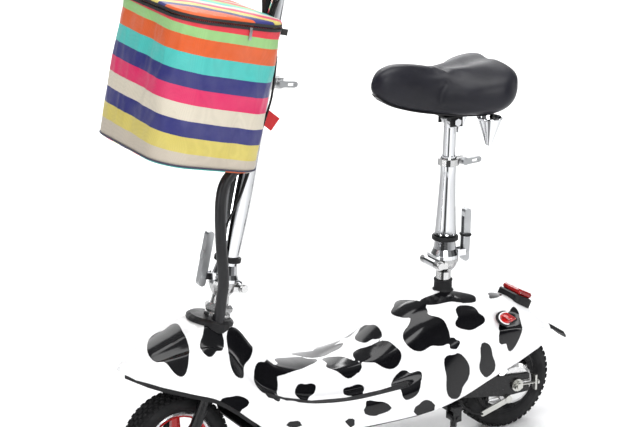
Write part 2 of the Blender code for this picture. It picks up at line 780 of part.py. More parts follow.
def make_front_fender(chassis):
    """The black flange that lines the hood's lower rim, round the nose from side to side."""
    places = [x for x in reversed(shell_places()) if FENDER_FRONT < x < FENDER_REAR]
    side = []
    for x in places:
        row = shell_row(x)
        side.append((x, row[8] - SHELL_WALL - 0.0032, row[9]))
    nose = shell_row(FENDER_NOSE_X + 0.0015)
    path = [(x, -w, z) for x, w, z in side] + [(FENDER_NOSE_X, 0.0, nose[9])] + [
        (x, w, z) for x, w, z in reversed(side)]
    sections = []
    for x, y, z in path:
        inward = Vector((0.4 if abs(y) < 0.06 else 0.0, -y, 0.0))
        if abs(y) < 1e-6:
            inward = Vector((1.0, 0.0, 0.0))
        reach = min(FENDER_INWARD, 0.7 * abs(y)) if abs(y) > 1e-6 else FENDER_INWARD
        inward = inward.normalized() * reach
        outer = Vector((x, y, z))
        rise = Vector((0.0, 0.0, 0.0035))
        drop = Vector((0.0, 0.0, FENDER_LIP))
        lip = inward.normalized() * 0.003
        sections.append([outer - drop, outer + rise, outer + inward + rise,
                         outer + inward, outer + lip, outer + lip - drop])
    return node("front_fender", loft(sections), black_plastic(), chassis)


def make_foot_strip(name, side, chassis):
    """A rubber strip along the ledge where the foot rests."""
    sections = []
    for x in shell_places():
        if not STRIP_FRONT < x < STRIP_REAR:
            continue
        row = shell_row(x)
        low = Vector((row[4], row[5]))
        high = Vector((row[6], row[7]))
        along = (high - low).normalized()
        up = Vector((-along.y, along.x))
        if up.y < 0:
            up = -up
        middle = (low + high) / 2
        half = STRIP_HALF_WIDTH
        corners = [middle - along * half + up * STRIP_LIFT, middle + along * half + up * STRIP_LIFT,
                   middle + along * 0.78 * half + up * STRIP_TOP,
                   middle - along * 0.78 * half + up * STRIP_TOP]
        sections.append([(x, side * c.x, c.y) for c in corners])
    return node(name, loft(sections), rubber(), chassis)


def make_fairing_cap(steering):
    """The black oval cap on the hood, with the hole that the steering column comes through."""
    cap = turned([(0.0, CAP_TOP), (CAP_HALF_WIDTH - 0.006, CAP_TOP - 0.0005),
                  (CAP_HALF_WIDTH, CAP_TOP - 0.005), (CAP_HALF_WIDTH - 0.0008, CAP_BOTTOM),
                  (0.0, CAP_BOTTOM)], 22)
    cap.data.transform(Matrix.Translation((CAP_X, 0.0, 0.0))
                       @ Matrix.Diagonal((CAP_HALF_LENGTH / CAP_HALF_WIDTH, 1.0, 1.0, 1.0)))
    column = rod((0.0, 0.0, -0.1), (0.0, 0.0, 0.1), COLLAR_RADIUS + 0.0012, 22)
    cables = rod((*CABLE_ENTRY, -0.1), (*CABLE_ENTRY, 0.1), CABLE_RADIUS + 0.0006, 16)
    hood = shell_solid(CAP_SEAT_GAP)
    upright = Matrix.Rotation(-STEERING_LEAN, 4, "Y")
    hood.data.transform(upright @ Matrix.Translation((-HEAD_X, 0.0, -HEAD_Z)))
    return node("fairing_cap", cut(cap, hood, column, cables), black_plastic(), steering)


def make_seat_boot(seat):
    """The rubber boot that closes the shell round the seat mast."""
    bore = SEAT_NECK_RADIUS + NECK_FLARE + RUNNING_GAP
    boot = turned([(bore, BOOT_TOP), (0.0205, BOOT_TOP), (0.0215, 0.010), (0.0205, 0.006),
                   (0.0225, 0.001), (0.0245, -0.0035), (0.0245, BOOT_BOTTOM),
                   (bore, BOOT_BOTTOM)], 16)
    hump = shell_solid(2 * GAP)
    upright = Matrix.Rotation(-SEAT_LEAN, 4, "Y")
    hump.data.transform(upright @ Matrix.Translation((-SEAT_X, 0.0, -SEAT_Z)))
    mast = rod((0.0, 0.0, 2 * BOOT_BOTTOM), (0.0, 0.0, SEAT_BASE_BOTTOM + GAP),
               MAST_RADIUS + RUNNING_GAP, 16)
    return node("seat_boot", cut(boot, hump, mast), rubber(), seat)


# Chassis

def make_main_frame(chassis):
    """Ladder frame with its head tube, rear plates, seat mast and kickstand lug, welded up."""
    rails = [block(((RAIL_FRONT + RAIL_REAR) / 2, side * RAIL_Y, RAIL_Z),
                   (RAIL_REAR - RAIL_FRONT, RAIL_WIDTH, RAIL_HEIGHT), 0.002) for side in (-1, 1)]
    span = 2 * RAIL_Y + 0.010
    bars = [block((x, 0.0, RAIL_Z), (0.026, span, RAIL_HEIGHT - 0.004))
            for x in (BAR_FRONT_X, BAR_REAR_X)]
    bars.append(block((BAR_REAR_X + 0.025, 0.0, RAIL_Z), (0.070, 0.050, RAIL_HEIGHT - 0.006)))
    lean = Vector((math.sin(STEERING_LEAN), 0.0, math.cos(STEERING_LEAN)))
    head = Vector((HEAD_X, 0.0, HEAD_Z))
    head_tube = rod(head + lean * HEAD_TUBE_BOTTOM, head + lean * HEAD_TUBE_TOP, HEAD_TUBE_RADIUS, 18)
    down_tube = rod((DOWN_TUBE_FOOT_X, 0.0, RAIL_Z + 0.004), head + lean * (HEAD_TUBE_BOTTOM * 0.45),
                    DOWN_TUBE_RADIUS, 14)
    mast_lean = Vector((math.sin(SEAT_LEAN), 0.0, math.cos(SEAT_LEAN)))
    seat = Vector((SEAT_X, 0.0, SEAT_Z))
    mast = rod(seat + mast_lean * (RAIL_Z - SEAT_Z), seat + mast_lean * SEAT_BASE_BOTTOM,
               MAST_RADIUS, 16)
    plates = [plate(DROPOUT_OUTLINE, DROPOUT_THICKNESS, "XZ", side * DROPOUT_Y) for side in (-1, 1)]
    frame = fuse(rails[0], rails[1], *bars, down_tube, head_tube, mast, *plates)
    x, y, z = KICKSTAND_PIVOT
    lug = block((x, y + 0.0235, z + 0.018), (0.030, 0.046, 0.010), 0.001)
    ears = [block((x, y + side * 0.0125, z + 0.0075), (0.016, 0.004, 0.028)) for side in (-1, 1)]
    bridge = block((x, y, z + 0.018), (0.020, 0.029, 0.010), 0.001)
    pin = rod((x, y - 0.0165, z), (x, y + 0.0165, z), KICKSTAND_PIN_RADIUS, 12)
    frame = fuse(frame, lug, bridge, *ears, pin)
    bore = rod(head + lean * (HEAD_TUBE_BOTTOM - 0.01), head + lean * (HEAD_TUBE_TOP + 0.01),
               HEAD_TUBE_BORE, 18)
    slot = block((0.022, 0.0, AXLE_Z), (0.044, 0.14, 2 * AXLE_SLOT))
    slot_end = rod((0.0, -0.07, AXLE_Z), (0.0, 0.07, AXLE_Z), AXLE_SLOT, 16)
    frame = cut(frame, bore, slot, slot_end)
    return node("main_frame", frame, black_paint(), chassis)


def make_battery(chassis):
    """The battery pack that lies on the rails under the deck."""
    pack = block(((BATTERY_FRONT + BATTERY_REAR) / 2, 0.0, RAIL_TOP + 2 * GAP + BATTERY_HEIGHT / 2),
                 (BATTERY_REAR - BATTERY_FRONT, BATTERY_WIDTH, BATTERY_HEIGHT), 0.003)
    return node("battery_pack", pack, black_plastic(), chassis)


def make_controller(chassis):
    """The finned motor controller ahead of the seat mast."""
    low = RAIL_TOP + 2 * GAP
    body = block((CONTROLLER_X, 0.0, low + CONTROLLER_HEIGHT / 2),
                 (CONTROLLER_LENGTH, CONTROLLER_WIDTH, CONTROLLER_HEIGHT), 0.002)
    fins = [block((CONTROLLER_X, 0.010 * i, low + CONTROLLER_HEIGHT + 0.003),
                  (CONTROLLER_LENGTH - 0.008, 0.004, 0.010)) for i in (-2, -1, 0, 1, 2)]
    return node("controller", fuse(body, *fins), zinc(), chassis)


def make_drive_motor(chassis):
    """The drive motor, lying across the frame ahead of the rear wheel, on the right side."""
    half = MOTOR_HALF_LENGTH
    edge = 0.003
    body = turned([(0.0, half), (MOTOR_RADIUS - edge, half), (MOTOR_RADIUS, half - edge),
                   (MOTOR_RADIUS, edge - half), (MOTOR_RADIUS - edge, -half), (0.0, -half)],
                  26, "Y", (PINION_X, 0.0, PINION_Z))
    foot_top = PINION_Z - MOTOR_RADIUS + 0.005
    saddle = block((PINION_X, 0.0, (MOTOR_FOOT_Z + foot_top) / 2),
                   (0.034, 0.060, foot_top - MOTOR_FOOT_Z))
    foot = block((PINION_X, 0.0, MOTOR_FOOT_Z + 0.002), (0.040, 0.094, 0.004))
    bore = rod((PINION_X, half - 0.014, PINION_Z), (PINION_X, half + 0.006, PINION_Z),
               MOTOR_AXIS_RADIUS + RUNNING_GAP, 14)
    return node("drive_motor", cut(fuse(body, saddle, foot), bore), zinc(), chassis)


def make_motor_pinion(pinion):
    """The small toothed wheel on the motor's shaft."""
    gear = plate(toothed_outline(PINION_RADIUS, TOOTH_DEPTH, PINION_TEETH, (PINION_X, PINION_Z)),
                 SPROCKET_THICKNESS, "XZ", CHAIN_Y)
    shaft = rod((PINION_X, MOTOR_HALF_LENGTH - 0.013, PINION_Z),
                (PINION_X, CHAIN_Y + 0.004, PINION_Z), MOTOR_AXIS_RADIUS, 14)
    return node("motor_pinion", fuse(gear, shaft), zinc(), pinion)


def toothed_outline(radius, depth, teeth, centre=(0.0, 0.0)):
    """Return a sprocket's outline: a round tooth top and a valley for every link."""
    points = []
    for tooth in range(teeth):
        for share, reach in ((0.0, radius), (0.30, radius), (0.65, radius - depth)):
            angle = 2 * math.pi * (tooth + share) / teeth
            points.append((centre[0] + reach * math.cos(angle), centre[1] + reach * math.sin(angle)))
    return points


def make_chain(chassis):
    """The drive chain, a closed band round the pinion and the wheel's sprocket."""
    small = (PINION_X, PINION_Z)
    large = (0.0, AXLE_Z)
    inner = belt_outline(small, PINION_RADIUS + RUNNING_GAP, large, SPROCKET_RADIUS + RUNNING_GAP)
    outer = belt_outline(small, PINION_RADIUS + CHAIN_THICKNESS, large,
                         SPROCKET_RADIUS + CHAIN_THICKNESS)
    sections = []
    for (ix, iz), (ox, oz) in zip(inner, outer):
        sections.append([(ix, CHAIN_Y - CHAIN_WIDTH / 2, iz), (ox, CHAIN_Y - CHAIN_WIDTH / 2, oz),
                         (ox, CHAIN_Y + CHAIN_WIDTH / 2, oz), (ix, CHAIN_Y + CHAIN_WIDTH / 2, iz)])
    shape = bmesh.new()
    rows = [[shape.verts.new(point) for point in section] for section in sections]
    for low, high in zip(rows, rows[1:] + rows[:1]):
        for i in range(4):
            j = (i + 1) % 4
            shape.faces.new((low[i], low[j], high[j], high[i]))
    return node("drive_chain", add_mesh("chain", shape), zinc(), chassis)


def belt_outline(small, small_radius, large, large_radius, steps=18):
    """Return the outline of a band round two wheels, as far-side arcs joined by straight runs."""
    gap = Vector((large[0] - small[0], large[1] - small[1]))
    heading = math.atan2(gap.y, gap.x)
    lean = math.asin((large_radius - small_radius) / gap.length)
    points = []
    first = heading - math.pi / 2 - lean
    for step in range(steps + 1):
        angle = first + (math.pi + 2 * lean) * step / steps
        points.append((large[0] + large_radius * math.cos(angle),
                       large[1] + large_radius * math.sin(angle)))
    for step in range(steps // 2 + 1):
        angle = first + math.pi + 2 * lean + (math.pi - 2 * lean) * step / (steps // 2)
        points.append((small[0] + small_radius * math.cos(angle),
                       small[1] + small_radius * math.sin(angle)))
    return points


def make_lamps(chassis):
    """Tail lamp on the hump's end and a marker lamp on each of its sides."""
    base_outline = rounded_outline(0.021, 0.034, 0.010, 4)
    base = plate(base_outline, 0.028, "XY", -0.008, 0.002)
    lens = plate(rounded_outline(0.018, 0.030, 0.009, 4), 0.011, "XY", 0.0, 0.003)
    tilt = Matrix.Rotation(TAIL_LAMP_TILT, 4, "Y")
    seat_point = Matrix.Translation((TAIL_LAMP_X, 0.0, TAIL_LAMP_Z)) @ tilt
    base.data.transform(seat_point)
    lens.data.transform(seat_point @ Matrix.Translation((0.0, 0.0, 0.0118)))
    base = cut(base, shell_solid(2 * GAP))
    node("tail_lamp_base", base, black_plastic(), chassis)
    node("tail_lamp_lens", lens, red_lens(), chassis)
    for name, side in (("side_marker_left", -1), ("side_marker_right", 1)):
        marker = turned([(0.0, 0.0070), (0.008, 0.0062), (0.0125, 0.0030), (0.013, 0.0), (0.013, -0.008),
                         (0.0, -0.008)], 16)
        marker.data.transform(Matrix.Diagonal((1.75, 0.85, 1.0, 1.0)))
        out = Matrix.Rotation(math.radians(90 - MARKER_FACE) * -side, 4, "X")
        place = Matrix.Translation((MARKER_X, side * MARKER_Y, MARKER_Z))
        slope = Matrix.Rotation(math.radians(16), 4, "Y")
        sweep = Matrix.Rotation(math.radians(-10 * side), 4, "Z")
        marker.data.transform(place @ sweep @ slope @ out)
        node(name, cut(marker, shell_solid(2 * GAP)), red_lens(), chassis)


def make_mud_flap(chassis):
    """The stiff rubber blade behind the hump."""
    start = Vector((FLAP_FRONT[0], 0.0, FLAP_FRONT[1]))
    end = Vector((FLAP_TIP[0], 0.0, FLAP_TIP[1]))
    sections = []
    for t, half in ((0.0, 0.018), (0.3, 0.024), (0.75, 0.026), (0.93, 0.020), (1.0, 0.010)):
        middle = start.lerp(end, t) + Vector((0.0, 0.0, 0.010 * math.sin(math.pi * t)))
        thick = 0.0018 + 0.0032 * (1.0 - t)
        sections.append([(middle.x, -half, middle.z - thick), (middle.x, half, middle.z - thick),
                         (middle.x, half * 0.96, middle.z + thick),
                         (middle.x, -half * 0.96, middle.z + thick)])
    return node("mud_flap", loft(sections), rubber(), chassis)


# Wheels

def make_tyre(name, wheel, at):
    """A pneumatic tyre with a flat tread band, two grooves and rows of shoulder lugs."""
    half = TYRE_HALF_WIDTH
    tread = TREAD_HALF_WIDTH
    bead = RIM_RADIUS + GAP
    upper = [(bead, 0.0135), (RIM_RADIUS + 0.006, 0.0195), (0.080, half), (0.0905, half - 0.0015),
             (0.0965, 0.0195), (TYRE_RADIUS, tread), (TYRE_RADIUS, 0.0055),
             (TYRE_RADIUS - 0.0022, 0.0045), (TYRE_RADIUS - 0.0022, 0.0028), (TYRE_RADIUS, 0.0018)]
    profile = upper + [(radius, -height) for radius, height in reversed(upper)]
    tyre = turned(profile, TYRE_STEPS, "Y")
    shape = bmesh.new()
    shape.from_mesh(tyre.data)
    lugs = []
    for face in shape.faces:
        middle = face.calc_center_median()
        radius = math.hypot(middle.x, middle.z)
        step = int(math.floor(math.atan2(middle.z, middle.x) / (2 * math.pi) * TYRE_STEPS + 1e-6))
        offset = 1 if middle.y > 0 else 0
        shoulder = 0.0170 > abs(middle.y) > 0.0155 and radius > 0.095
        if shoulder and (step + offset) % 2 == 0:
            lugs.append(face)
    raised = bmesh.ops.extrude_discrete_faces(shape, faces=lugs)["faces"]
    for face in raised:
        middle = face.calc_center_median()
        out = Vector((middle.x, 0.0, middle.z)).normalized()
        for corner in face.verts:
            corner.co += out * 0.0017 + (middle - corner.co) * 0.14
            reach = math.hypot(corner.co.x, corner.co.z)
            if reach > TYRE_RADIUS - 0.0004:
                corner.co.x *= (TYRE_RADIUS - 0.0004) / reach
                corner.co.z *= (TYRE_RADIUS - 0.0004) / reach
    shape.to_mesh(tyre.data)
    shape.free()
    tyre.data.transform(Matrix.Rotation(math.radians(180.0 / TYRE_STEPS), 4, "Y"))
    tyre.data.transform(Matrix.Translation(at))
    return node(name, tyre, rubber(), wheel, 25)


def make_rim(name, wheel, at, material, drum_side):
    """A cast rim with five spokes and its hub; the rear one carries the brake drum."""
    w = RIM_HALF_WIDTH
    rim = turned([(RIM_RADIUS - GAP, 0.0132), (RIM_RADIUS + 0.0045, w), (RIM_RADIUS + 0.001, w + 0.0012),
                  (RIM_RADIUS - 0.006, 0.0145), (RIM_RADIUS - 0.007, -0.0145),
                  (RIM_RADIUS + 0.001, -w - 0.0012), (RIM_RADIUS + 0.0045, -w),
                  (RIM_RADIUS - GAP, -0.0132)], TYRE_STEPS, "Y")
    spokes = []
    for i in range(SPOKE_COUNT):
        angle = 2 * math.pi * i / SPOKE_COUNT + math.pi / 2
        out = Vector((math.cos(angle), 0.0, math.sin(angle)))
        shape = rod(out * 0.014, out * (RIM_RADIUS - 0.0045), 0.0115, 6, 0.0085)
        shape.data.transform(Matrix.Diagonal((1.0, 0.9, 1.0, 1.0)))
        spokes.append(shape)
    hub = rod((0.0, -HUB_HALF_WIDTH, 0.0), (0.0, HUB_HALF_WIDTH, 0.0), HUB_OUTER_RADIUS, 16)
    wheel_body = fuse(hub, *spokes)
    wheel_body = fuse(rim, wheel_body)
    if drum_side:
        drum = rod((0.0, drum_side * (HUB_HALF_WIDTH - 0.002), 0.0),
                   (0.0, drum_side * DRUM_OUTER_Y, 0.0), DRUM_RADIUS, 22)
        wheel_body = fuse(wheel_body, drum)
    bore = rod((0.0, -0.05, 0.0), (0.0, 0.05, 0.0), AXLE_RADIUS + RUNNING_GAP, 16)
    wheel_body = cut(wheel_body, bore)
    wheel_body.data.transform(Matrix.Translation(at))
    return node(name, wheel_body, material, wheel)


def make_sprocket(wheel):
    """The toothed wheel on the right end of the rear hub."""
    disc = plate(toothed_outline(SPROCKET_RADIUS, TOOTH_DEPTH, SPROCKET_TEETH), SPROCKET_THICKNESS,
                 "XZ", CHAIN_Y)
    boss = rod((0.0, HUB_HALF_WIDTH + GAP, 0.0), (0.0, CHAIN_Y, 0.0), 0.014, 16)
    disc = fuse(disc, boss)
    holes = []
    for i in range(4):
        angle = 2 * math.pi * (i + 0.5) / 4
        spot = (0.0255 * math.cos(angle), 0.0, 0.0255 * math.sin(angle))
        holes.append(rod((spot[0], 0.030, spot[2]), (spot[0], 0.052, spot[2]), 0.0055, 6))
    bore = rod((0.0, 0.02, 0.0), (0.0, 0.06, 0.0), AXLE_RADIUS + RUNNING_GAP, 16)
    disc = cut(disc, bore, *holes)
    disc.data.transform(Matrix.Translation((0.0, 0.0, AXLE_Z)))
    return node("rear_sprocket", disc, zinc(), wheel)


def make_rear_axle(chassis):
    """The rear axle with its nuts and the two eye-bolt adjusters with their end plates."""
    axle = rod((0.0, -0.072, AXLE_Z), (0.0, 0.072, AXLE_Z), AXLE_RADIUS, 12)
    pieces = []
    for side in (-1, 1):
        nut_in = side * (DROPOUT_Y + DROPOUT_THICKNESS / 2 + GAP)
        pieces.append(rod((0.0, nut_in, AXLE_Z), (0.0, nut_in + side * 0.0045, AXLE_Z), 0.0125, 12))
        pieces.append(rod((0.0, nut_in + side * 0.004, AXLE_Z), (0.0, nut_in + side * 0.0105, AXLE_Z),
                          0.0095, 6))
        arm_y = nut_in + side * 0.0027
        pieces.append(rod((0.006, arm_y, AXLE_Z), (0.048, arm_y, AXLE_Z - 0.002), 0.0026, 8))
        pieces.append(block((0.0425, arm_y - side * 0.0035, AXLE_Z - 0.002), (0.004, 0.012, 0.030)))
        pieces.append(rod((0.0450, arm_y, AXLE_Z - 0.002), (0.0495, arm_y, AXLE_Z - 0.002), 0.0048, 6))
    spacer = DROPOUT_Y - DROPOUT_THICKNESS / 2 - GAP
    pieces.append(rod((0.0, CHAIN_Y + 0.0027, AXLE_Z), (0.0, spacer, AXLE_Z), 0.010, 16))
    return node("rear_axle", fuse(axle, *pieces), zinc(), chassis)


def make_brake_housing(chassis):
    """The round cover plate of the rear brake, between the drum and the left rear plate."""
    low = -(DROPOUT_Y - DROPOUT_THICKNESS / 2 - GAP)
    inner = DRUM_RADIUS + 0.002
    cover = turned([(0.0, 0.0), (0.034, 0.0), (BRAKE_COVER_RADIUS, 0.004), (BRAKE_COVER_RADIUS, 0.0245),
                    (inner, 0.0245), (inner, 0.0085), (0.0, 0.0085)], 24, "Y")
    cover.data.transform(Matrix.Translation((0.0, low, AXLE_Z)))
    ear = block((-0.046, low + 0.004, AXLE_Z - 0.016), (0.026, 0.006, 0.014), 0.001)
    cover = fuse(cover, ear)
    bore = rod((0.0, -0.09, AXLE_Z), (0.0, -0.03, AXLE_Z), AXLE_RADIUS + RUNNING_GAP, 12)
    x, y, z = BRAKE_ARM_PIVOT
    pin_bore = rod((x, y - 0.03, z), (x, y + 0.03, z), BRAKE_SHAFT_RADIUS + 0.0004, 12)
    return node("brake_housing", cut(cover, bore, pin_bore), cast_metal(), chassis)


def make_brake_arm(brake):
    """The lever that the rear brake cable pulls, on its short shaft."""
    x, y, z = BRAKE_ARM_PIVOT
    arm = plate(slot_outline((x, z), BRAKE_ARM_END, 0.0055, 5), 0.003, "XZ", y - BRAKE_ARM_DROP)
    boss = rod((x, y - 0.006, z), (x, y - 0.0005, z), 0.0075, 14)
    shaft = rod((x, y - 0.002, z), (x, y + 0.0105, z), BRAKE_SHAFT_RADIUS, 12)
    return node("rear_brake_arm", fuse(arm, boss, shaft), zinc(), brake)


def make_brake_cable(chassis):
    """The rear brake cable, from under the shell to the outer side of the brake arm's end."""
    end_x, end_z = BRAKE_ARM_END
    y = BRAKE_ARM_PIVOT[1] - BRAKE_ARM_DROP - 0.0015 - BRAKE_CABLE_RADIUS - GAP
    route = [(-0.215, -0.060, 0.135), (-0.185, -0.0650, 0.128), (-0.149, y, 0.112),
             (-0.130, y, 0.088), (-0.108, y, 0.0665), (end_x - 0.003, y, end_z + 0.001)]
    cable = bent_tube(route, BRAKE_CABLE_RADIUS, 1, True, 2)
    return node("rear_brake_cable", cable, rubber(), chassis)


def axle_from_head():
    """Return the front axle's place in the steering column's own coordinates."""
    dx = FRONT_AXLE_X - HEAD_X
    dz = AXLE_Z - HEAD_Z
    return (dx * math.cos(STEERING_LEAN) - dz * math.sin(STEERING_LEAN),
            dx * math.sin(STEERING_LEAN) + dz * math.cos(STEERING_LEAN))


# Fork and stem, built upright in the steering column's coordinates

def make_fork(steer):
    """Crown, two raked legs with axle ends, and the steerer tube."""
    ax, az = axle_from_head()
    crown = block((-0.009, 0.0, (CROWN_BOTTOM + CROWN_TOP) / 2),
                  (0.046, 2 * FORK_LEG_Y + 0.022, CROWN_TOP - CROWN_BOTTOM), 0.003)
    race = rod((0.0, 0.0, CROWN_TOP - 0.002), (0.0, 0.0, HEAD_TUBE_BOTTOM - GAP), 0.019, 18)
    steerer = rod((0.0, 0.0, CROWN_BOTTOM + 0.002), (0.0, 0.0, NUT_TOP - 0.002), STEERER_RADIUS, 16)
    pieces = []
    for side in (-1, 1):
        y = side * FORK_LEG_Y
        pieces.append(rod((-0.014, y, CROWN_BOTTOM + 0.002), (ax, y, az), 0.0115, 14, 0.0095))
        pieces.append(rod((ax, side * 0.0335, az), (ax, side * FORK_END_Y, az), 0.0145, 16))
    fork = fuse(crown, race, steerer, *pieces)
    bore = rod((ax, -0.08, az), (ax, 0.08, az), AXLE_RADIUS + GAP, 16)
    return node("fork", cut(fork, bore), black_paint(), steer)


def make_front_axle(steer):
    """The front axle with a nut and washer at each end."""
    ax, az = axle_from_head()
    pieces = []
    for side in (-1, 1):
        start = side * (FORK_END_Y + GAP)
        pieces.append(rod((ax, start, az), (ax, start + side * 0.002, az), 0.012, 12))
        pieces.append(rod((ax, start + side * 0.0018, az), (ax, start + side * 0.009, az), 0.0095, 6))
    axle = rod((ax, -0.066, az), (ax, 0.066, az), AXLE_RADIUS, 16)
    return node("front_axle", fuse(axle, *pieces), zinc(), steer)


def make_head_nut(steer):
    """The black collar in the fairing cap and the headset nut above it."""
    bore = STEERER_RADIUS + GAP
    collar = turned([(bore, COLLAR_TOP), (COLLAR_RADIUS - 0.0015, COLLAR_TOP),
                     (COLLAR_RADIUS, COLLAR_TOP - 0.0015), (COLLAR_RADIUS, HEAD_TUBE_TOP + GAP),
                     (bore, HEAD_TUBE_TOP + GAP)], 18)
    nut = turned([(0.0, NUT_TOP), (0.021, NUT_TOP), (NUT_RADIUS, NUT_TOP - 0.005),
                  (NUT_RADIUS, NUT_TOP - 0.011), (0.022, COLLAR_TOP - 0.001),
                  (0.0, COLLAR_TOP - 0.001)], 8)
    hole = rod((0.0, 0.0, HEAD_TUBE_TOP - 0.01), (0.0, 0.0, NUT_TOP + 0.01), bore, 16)
    return node("head_nut", cut(fuse(collar, nut), hole), cast_metal(), steer)


def make_fold_base(name, side, top, low, hinge_x, hinge_up, neck, material, parent):
    """The lower casting of a fold joint: neck, flared table, two knuckles and the pin.

    side is +1 with the hinge behind the tube and -1 with it in front.
    """
    body = turned([(0.0, top), (TABLE_RADIUS, top), (TABLE_RADIUS + 0.0006, top - 0.006),
                   (0.0215, top - 0.018), (neck, top - 0.027), (neck + NECK_FLARE, low), (0.0, low)], 18)
    pieces = []
    for half in (-1, 1):
        middle = half * (BARREL_HALF + 0.0065)
        pieces.append(rod((hinge_x, middle - 0.0055, hinge_up), (hinge_x, middle + 0.0055, hinge_up),
                          KNUCKLE_RADIUS, 12))
        pieces.append(block((hinge_x - side * 0.011, middle - half * 0.0015, hinge_up - 0.0035),
                            (0.016, 0.008, 0.010)))
    body = fuse(body, *pieces)
    notch = rod((hinge_x, -BARREL_HALF - 0.0008, hinge_up), (hinge_x, BARREL_HALF + 0.0008, hinge_up),
                KNUCKLE_RADIUS + NOTCH_GAP, 16)
    body = cut(body, notch)
    pin = rod((hinge_x, -0.0315, hinge_up), (hinge_x, 0.0315, hinge_up), PIN_RADIUS, 10)
    head = rod((hinge_x, -0.0335, hinge_up), (hinge_x, -0.0280, hinge_up), 0.0068, 10)
    return node(name, fuse(body, pin, head), material, parent)


def make_stem_base(steer):
    """The lower fold casting on the steerer, with the stem's hinge pin behind."""
    return make_fold_base("stem_base", 1, STEM_JOINT_UP - GAP, NUT_TOP + GAP, STEM_HINGE_BACK,
                          STEM_HINGE_UP, STEM_NECK_RADIUS, cast_metal(), steer)


def fold_barrel(side, joint_up, hinge_x, hinge_up):
    """Return the upper casting's barrel and its arm, without the pin's bore."""
    barrel = rod((hinge_x, -BARREL_HALF, hinge_up), (hinge_x, BARREL_HALF, hinge_up),
                 KNUCKLE_RADIUS, 14)
    arm = block((hinge_x - side * 0.0075, 0.0, joint_up + 0.0040),
                (0.017, 2 * BARREL_HALF - 0.001, 0.0078))
    return fuse(barrel, arm)


def latch_ears(x, up):
    """Return the two ears that carry a latch lever's pin."""
    return [block((x, half * 0.0088, up), (0.018, 0.0032, 0.0120)) for half in (-1, 1)]


def make_stem_tube(stem):
    """The outer stem tube with the bell casting of the fold joint at its foot."""
    up = STEM_JOINT_UP
    bore = INNER_TUBE_RADIUS + GAP
    foot = STEM_FOOT_RADIUS
    tube = turned([(bore, STEM_TUBE_TOP), (STEM_TUBE_RADIUS - 0.001, STEM_TUBE_TOP),
                   (STEM_TUBE_RADIUS - 0.0008, 0.330), (STEM_TUBE_RADIUS + 0.0008, 0.215),
                   (foot + 0.0012, 0.125), (foot, 0.105),
                   (foot + 0.0005, up + 0.030), (0.0225, up + 0.014), (TABLE_RADIUS, up + 0.006),
                   (TABLE_RADIUS, up), (0.0, up), (0.0, up + 0.022), (bore, up + 0.022)], 20)
    ears = latch_ears(-0.0330, STEM_LATCH_UP + 0.0022)
    tube = fuse(tube, fold_barrel(1, up, STEM_HINGE_BACK, STEM_HINGE_UP), *ears)
    hole = rod((STEM_HINGE_BACK, -0.03, STEM_HINGE_UP), (STEM_HINGE_BACK, 0.03, STEM_HINGE_UP),
               PIN_BORE, 16)
    return node("stem_tube", cut(tube, hole), chrome(), stem)


def make_latch(name, side, x, up, length, low, parent):
    """A flat fold-joint latch lever with round ends, a slot and its thumb bump."""
    lever = plate(slot_outline((x, up - low), (x, up + length), 0.0068, 5), 0.0135, "XZ", 0.0)
    hollow = block((x - side * 0.0062, 0.0, up + length * 0.45), (0.012, 0.0085, length * 0.86))
    lever = cut(lever, hollow)
    bump = block((x + side * 0.0072, 0.0, up + length * 0.52), (0.005, 0.0085, 0.014), 0.001)
    pin = rod((x, -0.0102, up), (x, 0.0102, up), 0.0028, 12)
    return node(name, fuse(lever, bump, pin), zinc(), parent)


def make_clamp(name, centre_up, height, bore, outer, back, parent, material):
    """A split clamp collar with two ears for its bolt; back is +1 for ears behind the tube."""
    collar = ring(outer, bore, centre_up - height / 2, centre_up + height / 2, 16, chamfer=0.001)
    ears = [block((back * (outer + 0.0055), half * 0.0062, centre_up), (0.016, 0.0058, height * 0.92))
            for half in (-1, 1)]
    collar = fuse(collar, *ears)
    split = block((back * (outer + 0.004), 0.0, centre_up), (0.030, 0.0064, height * 1.5))
    bolt_x = back * (outer + CLAMP_BOLT_OUT)
    bolt_hole = rod((bolt_x, -0.03, centre_up), (bolt_x, 0.03, centre_up), 0.0031, 8)
    return node(name, cut(collar, split, bolt_hole), material, parent)


def make_clamp_lever(name, x, up, back, reach, parent):
    """The quick-release bolt with its cam, lever and end nut."""
    bolt = rod((x, -0.0165, up), (x, 0.0125, up), 0.0027, 8)
    nut = rod((x, 0.0092, up), (x, 0.0145, up), 0.0062, 8)
    cam = rod((x, -0.0175, up), (x, -0.0094, up), 0.0072, 12)
    paddle = plate(slot_outline((x, up), (x + back * reach, up + 0.002), 0.0058, 5), 0.0045,
                   "XZ", -0.0165)
    slot = plate(slot_outline((x + back * reach * 0.52, up + 0.001),
                              (x + back * reach * 0.85, up + 0.0017), 0.0024, 4), 0.02, "XZ", -0.0165)
    return node(name, cut(fuse(bolt, nut, cam, paddle), slot), chrome(), parent)


